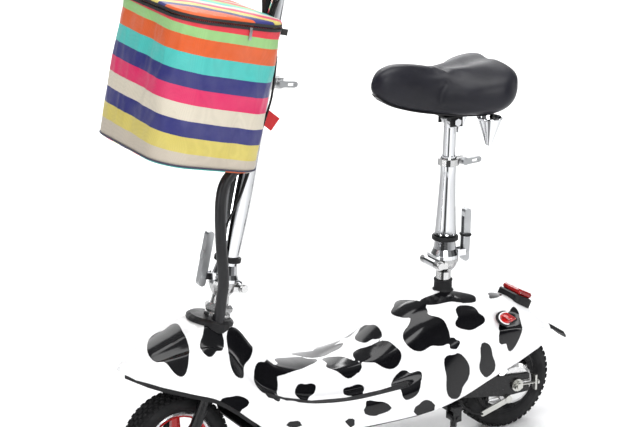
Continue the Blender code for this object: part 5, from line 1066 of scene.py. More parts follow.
@dataclass(frozen=True)
class Shell:
    """The moulded white shell with black spots."""

    steps_along: int = 12
    steps_across: int = 6

    @staticmethod
    def half(row: tuple) -> list:
        """Return the half outline of a cross-section from the crown down to the rim.

        Args:
            row: the cross-section's measures.

        Returns:
            The outline's points.
        """
        x, crown, top_w, top_z, foot_w, foot_z, ledge_w, ledge_z, rim_w, rim_z = row
        drop = crown - top_z
        return [(x, 0.0, crown), (x, 0.42 * top_w, crown - 0.12 * drop),
                (x, 0.78 * top_w, crown - 0.5 * drop), (x, top_w, top_z),
                (x, top_w + 0.30 * (foot_w - top_w), top_z + 0.36 * (foot_z - top_z)),
                (x, top_w + 0.66 * (foot_w - top_w), top_z + 0.76 * (foot_z - top_z)),
                (x, foot_w, foot_z), (x, ledge_w, ledge_z), (x, rim_w, rim_z)]

    def smooth_rows(self) -> list:
        """Return the cross-sections' measures on a smooth curve through the rows.

        Returns:
            Rows of measures.
        """
        rows = (SHELL_ROWS[0],) + SHELL_ROWS + (SHELL_ROWS[-1],)
        result = []
        for a, b, c, d in zip(rows, rows[1:], rows[2:], rows[3:]):
            for step in range(self.steps_along):
                t = step / self.steps_along
                x = b[0] + (c[0] - b[0]) * t
                measures = [eased(*four, t) for four in zip(a[1:], b[1:], c[1:], d[1:])]
                result.append((x, *measures))
        result.append(SHELL_ROWS[-1])
        return result

    def skin(self) -> list:
        """Return the shell's outer points, row by row.

        Returns:
            The rows of points.
        """
        rows = []
        for row in self.smooth_rows():
            half = self.half(row)
            full = [(x, -y, z) for x, y, z in reversed(half[1:])] + half
            points = curve_points(full, self.steps_across)
            rows.append([Vector((p.x + REAR_X, p.y, p.z)) for p in points])
        return rows

    @staticmethod
    def in_a_hole(spot: Vector) -> bool:
        """Tell whether a point lies in one of the holes for the two columns or the cables.

        Args:
            spot: the point.

        Returns:
            Whether it does.
        """
        head = COLUMN.inverted() @ spot
        if head.z > -0.08 and (math.hypot(head.x, head.y) < 0.0285
                               or math.hypot(head.x + 0.015, head.y + 0.034) < 0.0112):
            return True
        seat = SEAT.inverted() @ spot
        return seat.z > -0.05 and math.hypot(seat.x, seat.y) < 0.0192

    def build(self) -> None:
        """Build the skin, give it its wall and mark its spots."""
        rows = self.skin()
        verts = [p for row in rows for p in row]
        size = len(rows[0])
        faces = []
        for i in range(len(rows) - 1):
            for j in range(size - 1):
                corners = (i * size + j, i * size + j + 1, (i + 1) * size + j + 1, (i + 1) * size + j)
                middle = sum((verts[c] for c in corners), Vector()) / 4
                if not self.in_a_hole(middle):
                    faces.append(corners)
        faces.append(tuple(range(size)))
        faces.append(tuple(range((len(rows) - 1) * size, len(rows) * size)))
        made = add_object("shell_skin", verts, faces, cow_shell())
        top = max(made.data.polygons, key=lambda p: p.center.z)
        if top.normal.z < 0:
            made.data.flip_normals()
        wall = made.modifiers.new("wall", "SOLIDIFY")
        wall.thickness = SHELL_WALL
        wall.offset = -1
        wall.use_even_offset = False
        bake(made)
        spots = all_spots()
        values = [min(spot.distance(v.co) for spot in spots) for v in made.data.vertices]
        mark(made, "spot", values)
        shade(made.data, 50)
        put(made, "chassis", "body_shell", slot="white_plastic")


# Soft goods

@dataclass(frozen=True)
class Basket:
    """The striped cloth basket with its zipped lid, base, zip and strap."""

    middle: float = -0.140
    half_length: float = 0.105
    half_width: float = 0.140
    corner: float = 0.060
    bottom: float = 0.288
    top: float = 0.540
    around: int = 260
    up: int = 72
    base_thick: float = 0.003
    wall: float = 0.0028

    def outline(self, count: int = around) -> list:
        """Return (x, y, outward x, outward y) points round the basket's rounded rectangle.

        Args:
            count: how many points.

        Returns:
            The points.
        """
        r = self.corner
        straight_x = 2 * (self.half_length - self.corner)
        straight_y = 2 * (self.half_width - self.corner)
        arc = math.pi / 2 * r
        total = 2 * (straight_x + straight_y) + 4 * arc
        points = []
        for i in range(count):
            t = total * i / count
            runs = ((straight_y, 0.0), (straight_x, 90.0), (straight_y, 180.0), (straight_x, 270.0))
            corner = Vector((self.half_length - self.corner, self.half_width - self.corner))
            signs = ((1, 1), (-1, 1), (-1, -1), (1, -1))
            for (run, turn), (sx, sy) in zip(runs, signs):
                out = Matrix.Rotation(math.radians(turn), 2) @ Vector((1.0, 0.0))
                way = Vector((-out.y, out.x))
                hub = Vector((corner.x * sx, corner.y * sy))
                if t <= run:
                    spot = hub + out * r - way * (run - t)
                    break
                t -= run
                if t <= arc:
                    out = Matrix.Rotation(t / r, 2) @ out
                    spot = hub + out * r
                    break
                t -= arc
            points.append((self.middle + spot.x, spot.y, out.x, out.y))
        return points

    def wall_points(self, inset: float, up: float, share: float) -> list:
        """Return one ring of the cloth wall with its folds.

        Args:
            inset: how far inside the outline it is.
            up: its height.
            share: the share of the wall's height.

        Returns:
            The ring's points.
        """
        ring = []
        calm = min(1.0, share / 0.12) * min(1.0, (1.0 - share) / 0.10)
        for x, y, ox, oy in self.outline():
            lift = 0.0018 * math.sin(math.pi * share) if ox < 0.9 else 0.0
            fold = noise.noise(Vector((x * 17, y * 17, up * 4.5 + x * 5)))
            crease = noise.noise(Vector((x * 40 + 7, y * 40, up * 13)))
            pull = noise.noise(Vector((x * 9 + 3, y * 9, up * 17 + y * 20)))
            sag = 0.0085 * max(0.0, fold + 0.10) + 0.0030 * abs(crease) + 0.0045 * max(0.0, pull)
            reach = lift - inset - sag * calm
            ring.append((x + ox * reach, y + oy * reach, up))
        return ring

    @staticmethod
    def tilt(x: float, y: float) -> float:
        """Return how far the bands climb from the left to the right of the picture."""
        return 0.0065 * max(-1.0, min(1.0, (0.866 * (x + 0.14) - 0.5 * y) / 0.15))

    def bag(self) -> Object:
        """Build the wall, open at the top, with a rolled lip.

        Returns:
            The wall's object.
        """
        rows = []
        height = self.top - self.bottom - self.base_thick
        levels = [(0.006, 0.0), (0.0028, 0.0012), (0.0008, 0.0038), (0.0, 0.0075)]
        levels += [(0.0, 0.0075 + (height - 0.0075) * i / self.up) for i in range(1, self.up + 1)]
        for inset, lift in levels:
            rows.append(self.wall_points(inset, self.bottom + self.base_thick + lift, lift / height))
        rows.append(self.wall_points(self.wall / 2, self.top + 0.0001, 1.0))
        for i in range(0, self.up, 3):
            lift = height - (height - 0.006) * i / self.up
            rows.append(self.wall_points(self.wall, self.bottom + self.base_thick + lift, lift / height))
        rows.append(self.wall_points(0.012, self.bottom + self.base_thick + self.wall, 0.0))
        verts = [COLUMN @ Vector(p) for row in rows for p in row]
        made = add_object("basket_cloth", verts, ring_faces(len(rows), self.around),
                          striped("basket_cloth", BANDS, "depth", 0.252))
        mark(made, "depth", [self.top - up - self.tilt(x, y) for row in rows for x, y, up in row])
        made.data.set_sharp_from_angle(angle=math.radians(75))
        return made

    def dome(self, name: str, rings: list, order: tuple) -> Object:
        """Build a closed disc from (share, inset, height) rings of the outline, with slanting bands.

        Args:
            name: the piece's name.
            rings: its rings from the rim to the middle.
            order: the bands' colours.

        Returns:
            The disc's object.
        """
        bands = [(0.05 + 0.0235 * i, order[i % len(order)]) for i in range(18)]
        material = striped(name, bands, "across", 0.5)
        verts, across = [], []
        for share, inset, up in rings:
            for x, y, ox, oy in self.outline():
                px = self.middle + (x - self.middle - ox * inset) * share
                py = (y - oy * inset) * share
                ripple = 0.0011 * noise.noise(Vector((px * 30, py * 30, 2.0))) * (1.0 if share < 0.97 else 0.0)
                verts.append(COLUMN @ Vector((px, py, up + ripple)))
                across.append(0.5 * px + 0.86 * py + 0.25)
        made = add_object(name, verts, ring_faces(len(rings), self.around), material)
        mark(made, "across", across)
        return made

    def lid(self) -> Object:
        """Build the crowned lid.

        Returns:
            The lid's object.
        """
        low = self.top + 0.0006
        rings = [(0.9, 0.004, low), (1.0, 0.0022, low), (1.0, 0.0008, low + 0.001), (1.0, 0.0002, low + 0.004),
                 (1.0, 0.0008, low + 0.0075), (0.985, 0.001, low + 0.0100)]
        for i in range(1, 22):
            share = 0.985 - 0.965 * i / 21
            rings.append((share, 0.001, low + 0.0100 + 0.0048 * (1 - share ** 2.4)))
        order = (ORANGE, NAVY, YELLOW, MAGENTA, CREAM, TURQUOISE, GREEN, CORAL, BEIGE)
        return self.dome("lid_cloth", rings, order)

    def base(self) -> Object:
        """Build the base panel beneath the wall.

        Returns:
            The panel's object.
        """
        low = self.bottom
        rings = [(1.0, 0.0060, low + self.base_thick - 0.0002), (1.0, 0.0022, low + 0.0022),
                 (1.0, 0.0040, low + 0.0004), (1.0, 0.010, low + 0.0001), (0.5, 0.010, low)]
        order = (TURQUOISE, ORANGE, BEIGE, NAVY, YELLOW, MAGENTA, CREAM, GREEN, CORAL)
        return self.dome("base_cloth", rings, order)

    def hoop(self, name: str, inset: float, low: float, high: float, thickness: float,
             material: Material) -> Object:
        """Build a flat band that follows the basket's outline.

        Args:
            name: the piece's name.
            inset: how far inside the outline it starts.
            low: its lower edge.
            high: its upper edge.
            thickness: its thickness.
            material: its material.

        Returns:
            The band's object.
        """
        verts = []
        for grow, up in ((0.0, low), (thickness, low), (thickness, high), (0.0, high)):
            for x, y, ox, oy in self.outline():
                reach = grow - inset
                verts.append(COLUMN @ Vector((x + ox * reach, y + oy * reach, up)))
        return add_object(name, verts, ring_faces(4, self.around, loop=True), material)

    def zip_pieces(self, tape: Material) -> tuple:
        """Build the zip's two tapes, its teeth, its slider and the cloth tab at its end.

        Args:
            tape: the tapes' cloth.

        Returns:
            The lower tape, upper tape, teeth, tab and slider.
        """
        lower = self.hoop("zip_tape_lower", 0.0, self.top - 0.0058, self.top - 0.0010, 0.0009, tape)
        upper = self.hoop("zip_tape_upper", 0.0006, self.top + 0.0017, self.top + 0.0064, 0.0009, tape)
        line = [(x + ox * 0.0006, y + oy * 0.0006) for x, y, ox, oy in self.outline()]
        tooth = brick((0.0016, 0.0022, 0.0019), 0.0003)
        teeth = repeated("zip_teeth", line, tooth, 270, plain(BLACK_PLASTIC),
                         COLUMN @ Matrix.Translation((0.0, 0.0, self.top - 0.0004)))
        corner = Vector((self.middle + self.half_length - self.corner, -self.half_width + self.corner))
        out = Vector((0.94, -0.34)).normalized()
        spot = corner + out * self.corner
        turn = Matrix.Translation((spot.x, spot.y, self.top - 0.006)) @ Matrix.Rotation(
            math.atan2(out.y, out.x), 4, "Z")
        tab = brick((0.012, 0.0022, 0.011), 0.0008, (0.007, 0.0, -0.002))
        tab.data.transform(COLUMN @ turn)
        tab.name = "zip_tab"
        tab.data.materials.append(tape)
        tab.data.shade_smooth()
        spot = Vector((self.middle + 0.02, -self.half_width))
        slider = brick((0.0045, 0.0028, 0.0062), 0.0008, (0.0, -0.0022, 0.0))
        pull = brick((0.0050, 0.0014, 0.0170), 0.0006, (0.0, -0.0044, -0.0100))
        pair = joined("zip_slider", [slider, pull], plain(ALLOY))
        pair.data.transform(COLUMN @ Matrix.Translation((spot.x, spot.y, self.top - 0.004)))
        return lower, upper, teeth, tab, pair

    def strap(self) -> Object:
        """Build the red strap that ties the basket to the stem, with its tail.

        Returns:
            The strap's object.
        """
        path = [(-0.0322, -0.0240, 0.3665), (-0.015, -0.0242, 0.3665)]
        for step in range(13):
            angle = math.radians(-100 + 200 * step / 12)
            path.append((0.0238 * math.cos(angle), 0.0238 * math.sin(angle), 0.3665))
        path += [(-0.015, 0.0242, 0.3665), (-0.0322, 0.0240, 0.3665)]
        verts = []
        thick = 0.0006
        for i, point in enumerate(path):
            spot = Vector(point)
            heading = (Vector(path[min(i + 1, len(path) - 1)]) - Vector(path[max(i - 1, 0)])).normalized()
            out = Vector((heading.y, -heading.x, 0.0))
            for side, up in ((-1, -1), (1, -1), (1, 1), (-1, 1)):
                verts.append(COLUMN @ (spot + out * side * thick + Vector((0.0, 0.0, 0.0085 * up))))
        red = webbing("red_webbing", (0.62, 0.012, 0.016))
        pieces = [add_object("strap_loop", verts, ring_faces(len(path), 4), red)]
        for size, bevel, spot, turn in (((0.0300, 0.0018, 0.0270), 0.0007, (0.017, -0.0262, 0.3640), 28),
                                        ((0.0140, 0.0018, 0.0180), 0.0006, (0.001, -0.0258, 0.3720), -14)):
            end = brick(size, bevel)
            end.data.transform(COLUMN @ Matrix.Translation(spot) @ Matrix.Rotation(math.radians(turn), 4, "Y"))
            pieces.append(end)
        return joined("basket_strap", pieces, red)

    def build(self) -> None:
        """Build all of the basket."""
        tape = webbing("zip_tape", (0.018, 0.018, 0.020))
        put(self.bag(), "bar", "basket_bag", slot="fabric")
        put(self.base(), "bar")
        put(self.lid(), "lid", "basket_lid", slot="fabric")
        lower, upper, teeth, tab, pair = self.zip_pieces(tape)
        for piece in (lower, teeth, tab, pair):
            put(piece, "bar")
        put(upper, "lid")
        put(self.strap(), "stem")
        line = [COLUMN @ Vector((x - ox * 0.0004, y - oy * 0.0004, self.bottom + 0.0045))
                for x, y, ox, oy in self.outline(160)]
        piping = tube("basket_piping", line, 0.0014, webbing("piping", (0.05, 0.05, 0.09)), 10, closed=True)
        put(piping, "bar")


SADDLE_NOSE_X = -0.170
SADDLE_UP = 0.396
# Each row of the saddle: place, half width, top height, side height and underside height
SADDLE_ROWS = (
    (-0.003, 0.004, 0.012, 0.006, 0.000),
    (0.000, 0.009, 0.019, 0.006, -0.008), (0.014, 0.022, 0.036, 0.000, -0.024),
    (0.040, 0.027, 0.045, -0.006, -0.038), (0.080, 0.031, 0.043, -0.014, -0.050),
    (0.120, 0.042, 0.034, -0.020, -0.057), (0.155, 0.064, 0.030, -0.024, -0.061),
    (0.190, 0.091, 0.031, -0.022, -0.0615), (0.222, 0.105, 0.036, -0.017, -0.0595),
    (0.248, 0.099, 0.039, -0.008, -0.050), (0.264, 0.078, 0.034, 0.004, -0.032),
    (0.270, 0.048, 0.026, 0.008, -0.012), (0.2725, 0.020, 0.016, 0.010, 0.000))


@dataclass(frozen=True)
class Saddle:
    """The leather saddle with its rolled edge, staples and cones."""

    around: int = 72
    inset: float = 0.0035
    most_swell: float = 0.0042

    @staticmethod
    def rows() -> list:
        """Return the saddle's rows on a smooth curve.

        Returns:
            The rows.
        """
        ends = (SADDLE_ROWS[0],) + SADDLE_ROWS + (SADDLE_ROWS[-1],)
        result = []
        for a, b, c, d in zip(ends, ends[1:], ends[2:], ends[3:]):
            steps = max(2, round((c[0] - b[0]) / 0.0035))
            for step in range(steps):
                result.append(tuple(eased(*four, step / steps) for four in zip(a, b, c, d)))
        result.append(SADDLE_ROWS[-1])
        return result

    @staticmethod
    def edge(row: tuple, angle: float, inset: float = 0.0) -> Vector:
        """Return the point of one row at an angle round its cross-section.

        Args:
            row: the row's measures.
            angle: the angle, from the right over the top.
            inset: how far inside the finished leather it is.

        Returns:
            The point.
        """
        place, half, top, side, under = row
        c, s = math.cos(angle), math.sin(angle)
        y = (half - inset) * math.copysign(abs(c) ** 0.75, c)
        if s >= 0:
            z = side + (top - inset - side) * abs(s) ** 0.62
            dip = 1.0 if 0.14 < place < 0.26 else 0.3
            z -= 0.005 * math.exp(-(y / 0.02) ** 2) * dip
        else:
            z = side + (under - side) * abs(s) ** 0.66
            y *= 1.0 - 0.14 * abs(s)
        return Vector((SADDLE_NOSE_X + place, y, SADDLE_UP + z))

    def swell(self, item: Object) -> None:
        """Let the leather swell as cloth under pressure, with a cap on how far it moves.

        Args:
            item: the leather.
        """
        scene = bpy.context.scene
        cloth = item.modifiers.new("cloth", "CLOTH")
        cloth.settings.use_pressure = True
        cloth.settings.uniform_pressure_force = 4.0
        cloth.settings.effector_weights.gravity = 0.0
        cloth.settings.vertex_group_mass = "hold"
        cloth.settings.tension_stiffness = 12.0
        cloth.settings.compression_stiffness = 12.0
        cloth.settings.bending_stiffness = 0.8
        cloth.point_cache.frame_start = 1
        cloth.point_cache.frame_end = 20
        for frame in range(1, 21):
            scene.frame_set(frame)
        graph = bpy.context.evaluated_depsgraph_get()
        moved = [v.co.copy() for v in item.evaluated_get(graph).data.vertices]
        item.modifiers.remove(cloth)
        scene.frame_set(1)
        for vertex, spot in zip(item.data.vertices, moved):
            step = spot - vertex.co
            if step.length > self.most_swell:
                step *= self.most_swell / step.length
            vertex.co += step

    def cushion(self) -> Object:
        """Build the leather cushion.

        Returns:
            The cushion's object.
        """
        rows = self.rows()
        size = self.around
        verts = [self.edge(row, 2 * math.pi * i / size, self.inset * min(1.0, row[1] / 0.02))
                 for row in rows for i in range(size)]
        made = add_object("saddle_leather", verts, ring_faces(len(rows), size), leather())
        hold = made.vertex_groups.new(name="hold")
        under = [i for i in range(len(verts)) if math.sin(2 * math.pi * (i % size) / size) < -0.35]
        hold.add(under, 1.0, "REPLACE")
        self.swell(made)
        made.vertex_groups.clear()
        for vertex in made.data.vertices:
            spot, out = vertex.co, vertex.normal
            low = max(0.0, min(1.0, (SADDLE_UP + 0.026 - spot.z) / 0.03))
            crease = abs(noise.noise(Vector((spot.x * 34, spot.y * 16, spot.z * 55))))
            vertex.co = spot - out * (0.0007 * low * max(0.0, 0.35 - crease))
        made.data.transform(SEAT)
        fine = made.modifiers.new("fine", "SUBSURF")
        fine.levels = 1
        fine.render_levels = 1
        bake(made)
        return made

    def edge_line(self, angle: float) -> list:
        """Return the loop that runs round the saddle at one angle of its cross-sections.

        Args:
            angle: the angle.

        Returns:
            The loop's points.
        """
        rows = [row for row in self.rows() if 0.004 < row[0] < 0.266][::3]
        far = [self.edge(row, math.pi - angle) for row in reversed(rows)]
        return [self.edge(row, angle) for row in rows] + far

    def cone(self, side: int) -> Object:
        """Build one conical spring cup as a turned shell with its rolled rim.

        Args:
            side: -1 for the left, 1 for the right.

        Returns:
            The cup's object.
        """
        profile = rounded([(0.0, 0.2790), (0.0035, 0.2785), (0.0062, 0.2810), (0.0226, 0.3290), (0.0240, 0.3305),
                           (0.0240, 0.3335), (0.0215, 0.3340), (0.0205, 0.3300), (0.0050, 0.2835),
                           (0.0, 0.2830)], 0.0012, 4)
        place = SEAT @ Matrix.Translation((0.052, side * 0.052, 0.0))
        return lathe(f"saddle_cone_{'left' if side < 0 else 'right'}", profile, plain(CHROME), place, 72)

    @staticmethod
    def bracket() -> Object:
        """Build the clamp's cheeks and plate under the saddle.

        Returns:
            The bracket's object.
        """
        pieces = [brick((0.060, 0.058, 0.0035), 0.0012, (0.0, 0.0, 0.3335))]
        for side in (-1, 1):
            pieces.append(brick((0.026, 0.0036, 0.0215), 0.0010, (0.0, side * 0.0200, 0.3232)))
        made = joined("saddle_bracket", pieces, plain(BLACK_PLASTIC))
        made.data.transform(SEAT)
        return made

    def build(self) -> None:
        """Build all of the saddle."""
        cushion = self.cushion()
        put(cushion, "seat", "saddle_cushion", slot="leather")
        line = [SEAT @ spot for spot in self.edge_line(math.radians(-58))]
        put(tube("saddle_edge", line, 0.0019, plain(BLACK_PLASTIC), 10, closed=True), "seat")
        staple = brick((0.0009, 0.0011, 0.0075), 0.0002)
        line = self.edge_line(math.radians(-66))
        staples = repeated("saddle_staples", line, staple, 62, plain(ZINC), SEAT)
        put(staples, "seat")
        for side, node in ((-1, "saddle_spring_left"), (1, "saddle_spring_right")):
            put(self.cone(side), "seat", node, slot="chrome")
        put(self.bracket(), "seat", "saddle_pan", slot="black_plastic")


# Wheels and drive

@dataclass(frozen=True)
class Tyre:
    """A pneumatic tyre with moulded sidewalls and rows of tread blocks, for one CAD tyre."""

    node: str
    body: str
    axle: Vector
    half: tuple = ((0.0643, 0.0135), (0.0665, 0.0178), (0.0700, 0.0198), (0.0712, 0.0193), (0.0722, 0.0206),
            (0.0770, 0.0238), (0.0815, 0.0249), (0.0830, 0.0252), (0.0843, 0.0249), (0.0890, 0.0243),
            (0.0925, 0.0226), (0.0950, 0.0196), (0.0962, 0.0150), (0.0966, 0.0080))
    # Each row of blocks: distance from the middle, radius, size outward, across and along, lean, shift
    rows: tuple = (
        (0.0046, 0.0976, 0.0032, 0.0062, 0.0082, 0.0, 0.0), (-0.0046, 0.0976, 0.0032, 0.0062, 0.0082, 0.0, 0.5),
        (0.0132, 0.0973, 0.0036, 0.0066, 0.0066, 6.0, 0.5), (-0.0132, 0.0973, 0.0036, 0.0066, 0.0066, -6.0, 0.0),
        (0.0204, 0.0947, 0.0036, 0.0056, 0.0080, 40.0, 0.0), (-0.0204, 0.0947, 0.0036, 0.0056, 0.0080, -40.0, 0.5))
    count: int = 48

    def build(self) -> None:
        """Build the carcass and its blocks as one piece."""
        profile = list(self.half) + [(r, -h) for r, h in reversed(self.half)]
        place = Matrix.Translation(self.axle)
        pieces = [lathe("carcass", profile, plain(TYRE), place, 120, "Y", 50)]
        flat = place @ Matrix.Rotation(math.radians(90), 4, "X")
        for off, radius, out, across, along, lean, shift in self.rows:
            block = brick((out, across, along), 0.0005)
            block.data.transform(Matrix.Rotation(math.radians(lean), 4, "Z"))
            ring = []
            for i in range(192):
                angle = 2 * math.pi * (i + shift * 192 / self.count) / 192
                ring.append((radius * math.cos(angle), radius * math.sin(angle), off))
            pieces.append(repeated("tread", ring, block, self.count, plain(TYRE), flat))
        put(joined(f"{self.node}_tread", pieces, plain(TYRE)), self.body, self.node, slot="tyre")
        stem = lathe("valve", [(0.0, 0.036), (0.0026, 0.036), (0.0028, 0.0385), (0.0022, 0.040), (0.0024, 0.0555),
                               (0.0036, 0.0575), (0.0, 0.0580)], plain(RUBBER),
                     place @ Matrix.Rotation(math.radians(38), 4, "Y") @ Matrix.Translation((0.0, -0.0085, 0.0)), 20)
        stem.name = f"{self.node}_valve"
        put(stem, self.body)


@dataclass(frozen=True)
class Drive:
    """The roller chain."""

    small: tuple = (-0.194 + REAR_X, 0.165, 0.0128)
    large: tuple = (REAR_X, AXLE_Z, 0.0413)
    side: float = 0.0405

    def path(self) -> list:
        """Return the chain's pitch line, anticlockwise, as evenly spaced points.

        Returns:
            The points.
        """
        sx, sz, sr = self.small
        lx, lz, lr = self.large
        gap = Vector((lx - sx, lz - sz))
        heading = math.atan2(gap.y, gap.x)
        lean = math.asin((lr - sr) / gap.length)
        line = []
        for i in range(41):
            angle = heading + math.pi / 2 + lean + (math.pi - 2 * lean) * i / 40
            line.append((sx + sr * math.cos(angle), sz + sr * math.sin(angle)))
        for i in range(61):
            angle = heading - math.pi / 2 - lean + (math.pi + 2 * lean) * i / 60
            line.append((lx + lr * math.cos(angle), lz + lr * math.sin(angle)))
        return line

    def build(self) -> None:
        """Build the chain."""
        line = self.path()
        length = sum(math.dist(a, b) for a, b in zip(line, line[1:] + line[:1]))
        plates = [brick((0.0036, 0.0007, 0.0060), 0.0003, (0.0, side * 0.0021, 0.0)) for side in (-1, 1)]
        roller = lathe("roller", [(0.0, -0.0024), (0.0013, -0.0024), (0.0013, 0.0024), (0.0, 0.0024)],
                       plain(ZINC), UPRIGHT, 12, "Y")
        link = joined("link", plates + [roller], plain(ZINC))
        place = Matrix.Translation((0.0, self.side, 0.0)) @ Matrix.Rotation(math.radians(90), 4, "X")
        chain = repeated("chain_links", line, link, round(length / 0.00635), plain(ZINC), place)
        put(chain, "chassis", "drive_chain", slot="zinc")


@dataclass(frozen=True)
class Cables:
    """The sheathed bundle, the thin cable beside it and the cables at the handlebar."""

    route: tuple = ((-0.015, -0.0340, -0.022), (-0.015, -0.0340, 0.002), (-0.016, -0.0345, 0.018),
             (-0.019, -0.0370, 0.038), (-0.025, -0.0420, 0.075), (-0.042, -0.0400, 0.140),
             (-0.054, -0.0365, 0.200), (-0.0555, -0.0350, 0.238), (-0.046, -0.0350, 0.263),
             (-0.0265, -0.0360, 0.291), (-0.0260, -0.0325, 0.350), (-0.0255, -0.0325, 0.430),
             (-0.0250, -0.0325, 0.520), (-0.0160, -0.0380, 0.590), (0.004, -0.0560, 0.632))
    thin: tuple = ((-0.042, -0.0360, 0.150), (-0.030, -0.0330, 0.185), (-0.014, -0.0290, 0.230),
            (-0.004, -0.0282, 0.285), (0.004, -0.0285, 0.350), (0.010, -0.0300, 0.400),
            (0.006, -0.0340, 0.440), (-0.001, -0.0400, 0.480))
    radius: float = 0.0100
    thin_radius: float = 0.0021
    between: int = 10
    # Where the bundle is split into three lengths: below the first place, from there up to the second, and above
    twist_end: int = 3
    fold_end: int = 5
    sleeve_end: int = 9

    @staticmethod
    def height(up: float) -> Vector:
        """Return the point on the steering axis at a height."""
        return COLUMN @ Vector((0.0, 0.0, up))

    def bundle(self) -> None:
        """Build the sheathed bundle in three lengths, one for each joint that it crosses."""
        path = curve_points(self.route, self.between)
        first, second, sleeve = (end * self.between for end in (self.twist_end, self.fold_end, self.sleeve_end))
        cuts = (("cable_foot", path[:first + 1], "chassis", "steering", 0.004, 0.036),
                ("cable_middle", path[first:second + 1], "steering", "stem", 0.040, 0.138),
                ("cable_top", path[second:sleeve + 1], "stem", "bar", 0.143, 0.236))
        for name, part, low_body, high_body, start, end in cuts:
            piece = tube(name, part, self.radius, sheath(), 28, COLUMN)
            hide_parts("cable_bundle")
            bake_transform(piece)
        neck = path[sleeve:sleeve + 5]
        put(tube("sleeve_end", neck, lambda t: self.radius - 0.0022 * t, plain(RUBBER), 28, COLUMN), "bar")
        self.strands(path[sleeve:])

    def strands(self, path: list) -> None:
        """Build the separate cables that go on from the sleeve's end to the handlebar.

        Args:
            path: the points they follow.
        """
        dark = plain(BLACK_PLASTIC)
        for index, turn in enumerate((20.0, 140.0, 260.0)):
            line = []
            for i, spot in enumerate(path):
                share = i / (len(path) - 1)
                angle = math.radians(turn + 40.0 * math.sin(2.2 * share * math.pi + index))
                off = 0.0029 + 0.0004 * math.sin(math.pi * share)
                line.append(spot + Vector((math.cos(angle), math.sin(angle), 0.0)) * off)
            put(tube(f"cable_strand_{index + 1}", line, 0.0024, dark, 14, COLUMN), "bar")

    def build(self) -> None:
        """Build every cable of the steering column."""
        self.bundle()
        black = plain(BLACK_PLASTIC)
        thin = tube("thin_cable", curve_points(self.thin, self.between), self.thin_radius, black, 16, COLUMN)
        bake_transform(thin)
        left = ((0.003, -0.0560, 0.626), (-0.004, -0.0640, 0.640), (-0.020, -0.0860, 0.651),
                (-0.028, -0.1080, 0.6545), (-0.0295, -0.1270, 0.6545))
        right = ((0.001, -0.0540, 0.626), (-0.010, -0.0480, 0.640), (-0.028, -0.0200, 0.648),
                 (-0.034, 0.0300, 0.650), (-0.033, 0.0900, 0.6535), (-0.0300, 0.1270, 0.6545))
        for name, route in (("brake_cable_left", left), ("brake_cable_right", right)):
            put(tube(name, curve_points(route, 8), 0.0024, black, 14, COLUMN), "bar")
        throat = [(0.0040, -0.0560, 0.6300), (0.0042, -0.0565, 0.6350)]
        put(tube("sheath_end", throat, lambda t: 0.0112 - 0.004 * t, plain(RUBBER), 24, COLUMN), "bar")


@dataclass(frozen=True)
class Controls:
    """The two ribbed rubber grips."""

    bar_up: float = 0.660
    first_rib: float = 0.1660
    last_rib: float = 0.2610
    rib_step: float = 0.0042

    def grip(self, name: str, body: str, node: str, side: int) -> None:
        """Build one ribbed rubber grip.

        Args:
            name: the piece's name.
            body: the body it rides on.
            node: the CAD node it stands for.
            side: -1 for the left, 1 for the right.
        """
        profile = [(0.0114, 0.1585), (0.0195, 0.1585), (0.0198, 0.1600), (0.0190, 0.1625), (0.0160, 0.1640)]
        spot = self.first_rib
        while spot < self.last_rib:
            profile += [(0.0147, spot), (0.0147, spot + 0.0012), (0.0157, spot + 0.0018), (0.0157, spot + 0.0034)]
            spot += self.rib_step
        profile += [(0.0150, 0.2640), (0.0157, 0.2655), (0.0157, 0.2680), (0.0140, 0.2698), (0.0114, 0.2699)]
        place = COLUMN @ Matrix.Translation((0.0, 0.0, self.bar_up))
        turned = [(r, h * side) for r, h in profile]
        put(lathe(name, turned, plain(RUBBER), place, 48, "Y", 50), body, node, slot="rubber")

    def build(self) -> None:
        """Build the controls."""
        self.grip("grip_ribs_left", "bar", "grip_left", -1)
        self.grip("grip_ribs_right", "throttle", "throttle_grip", 1)


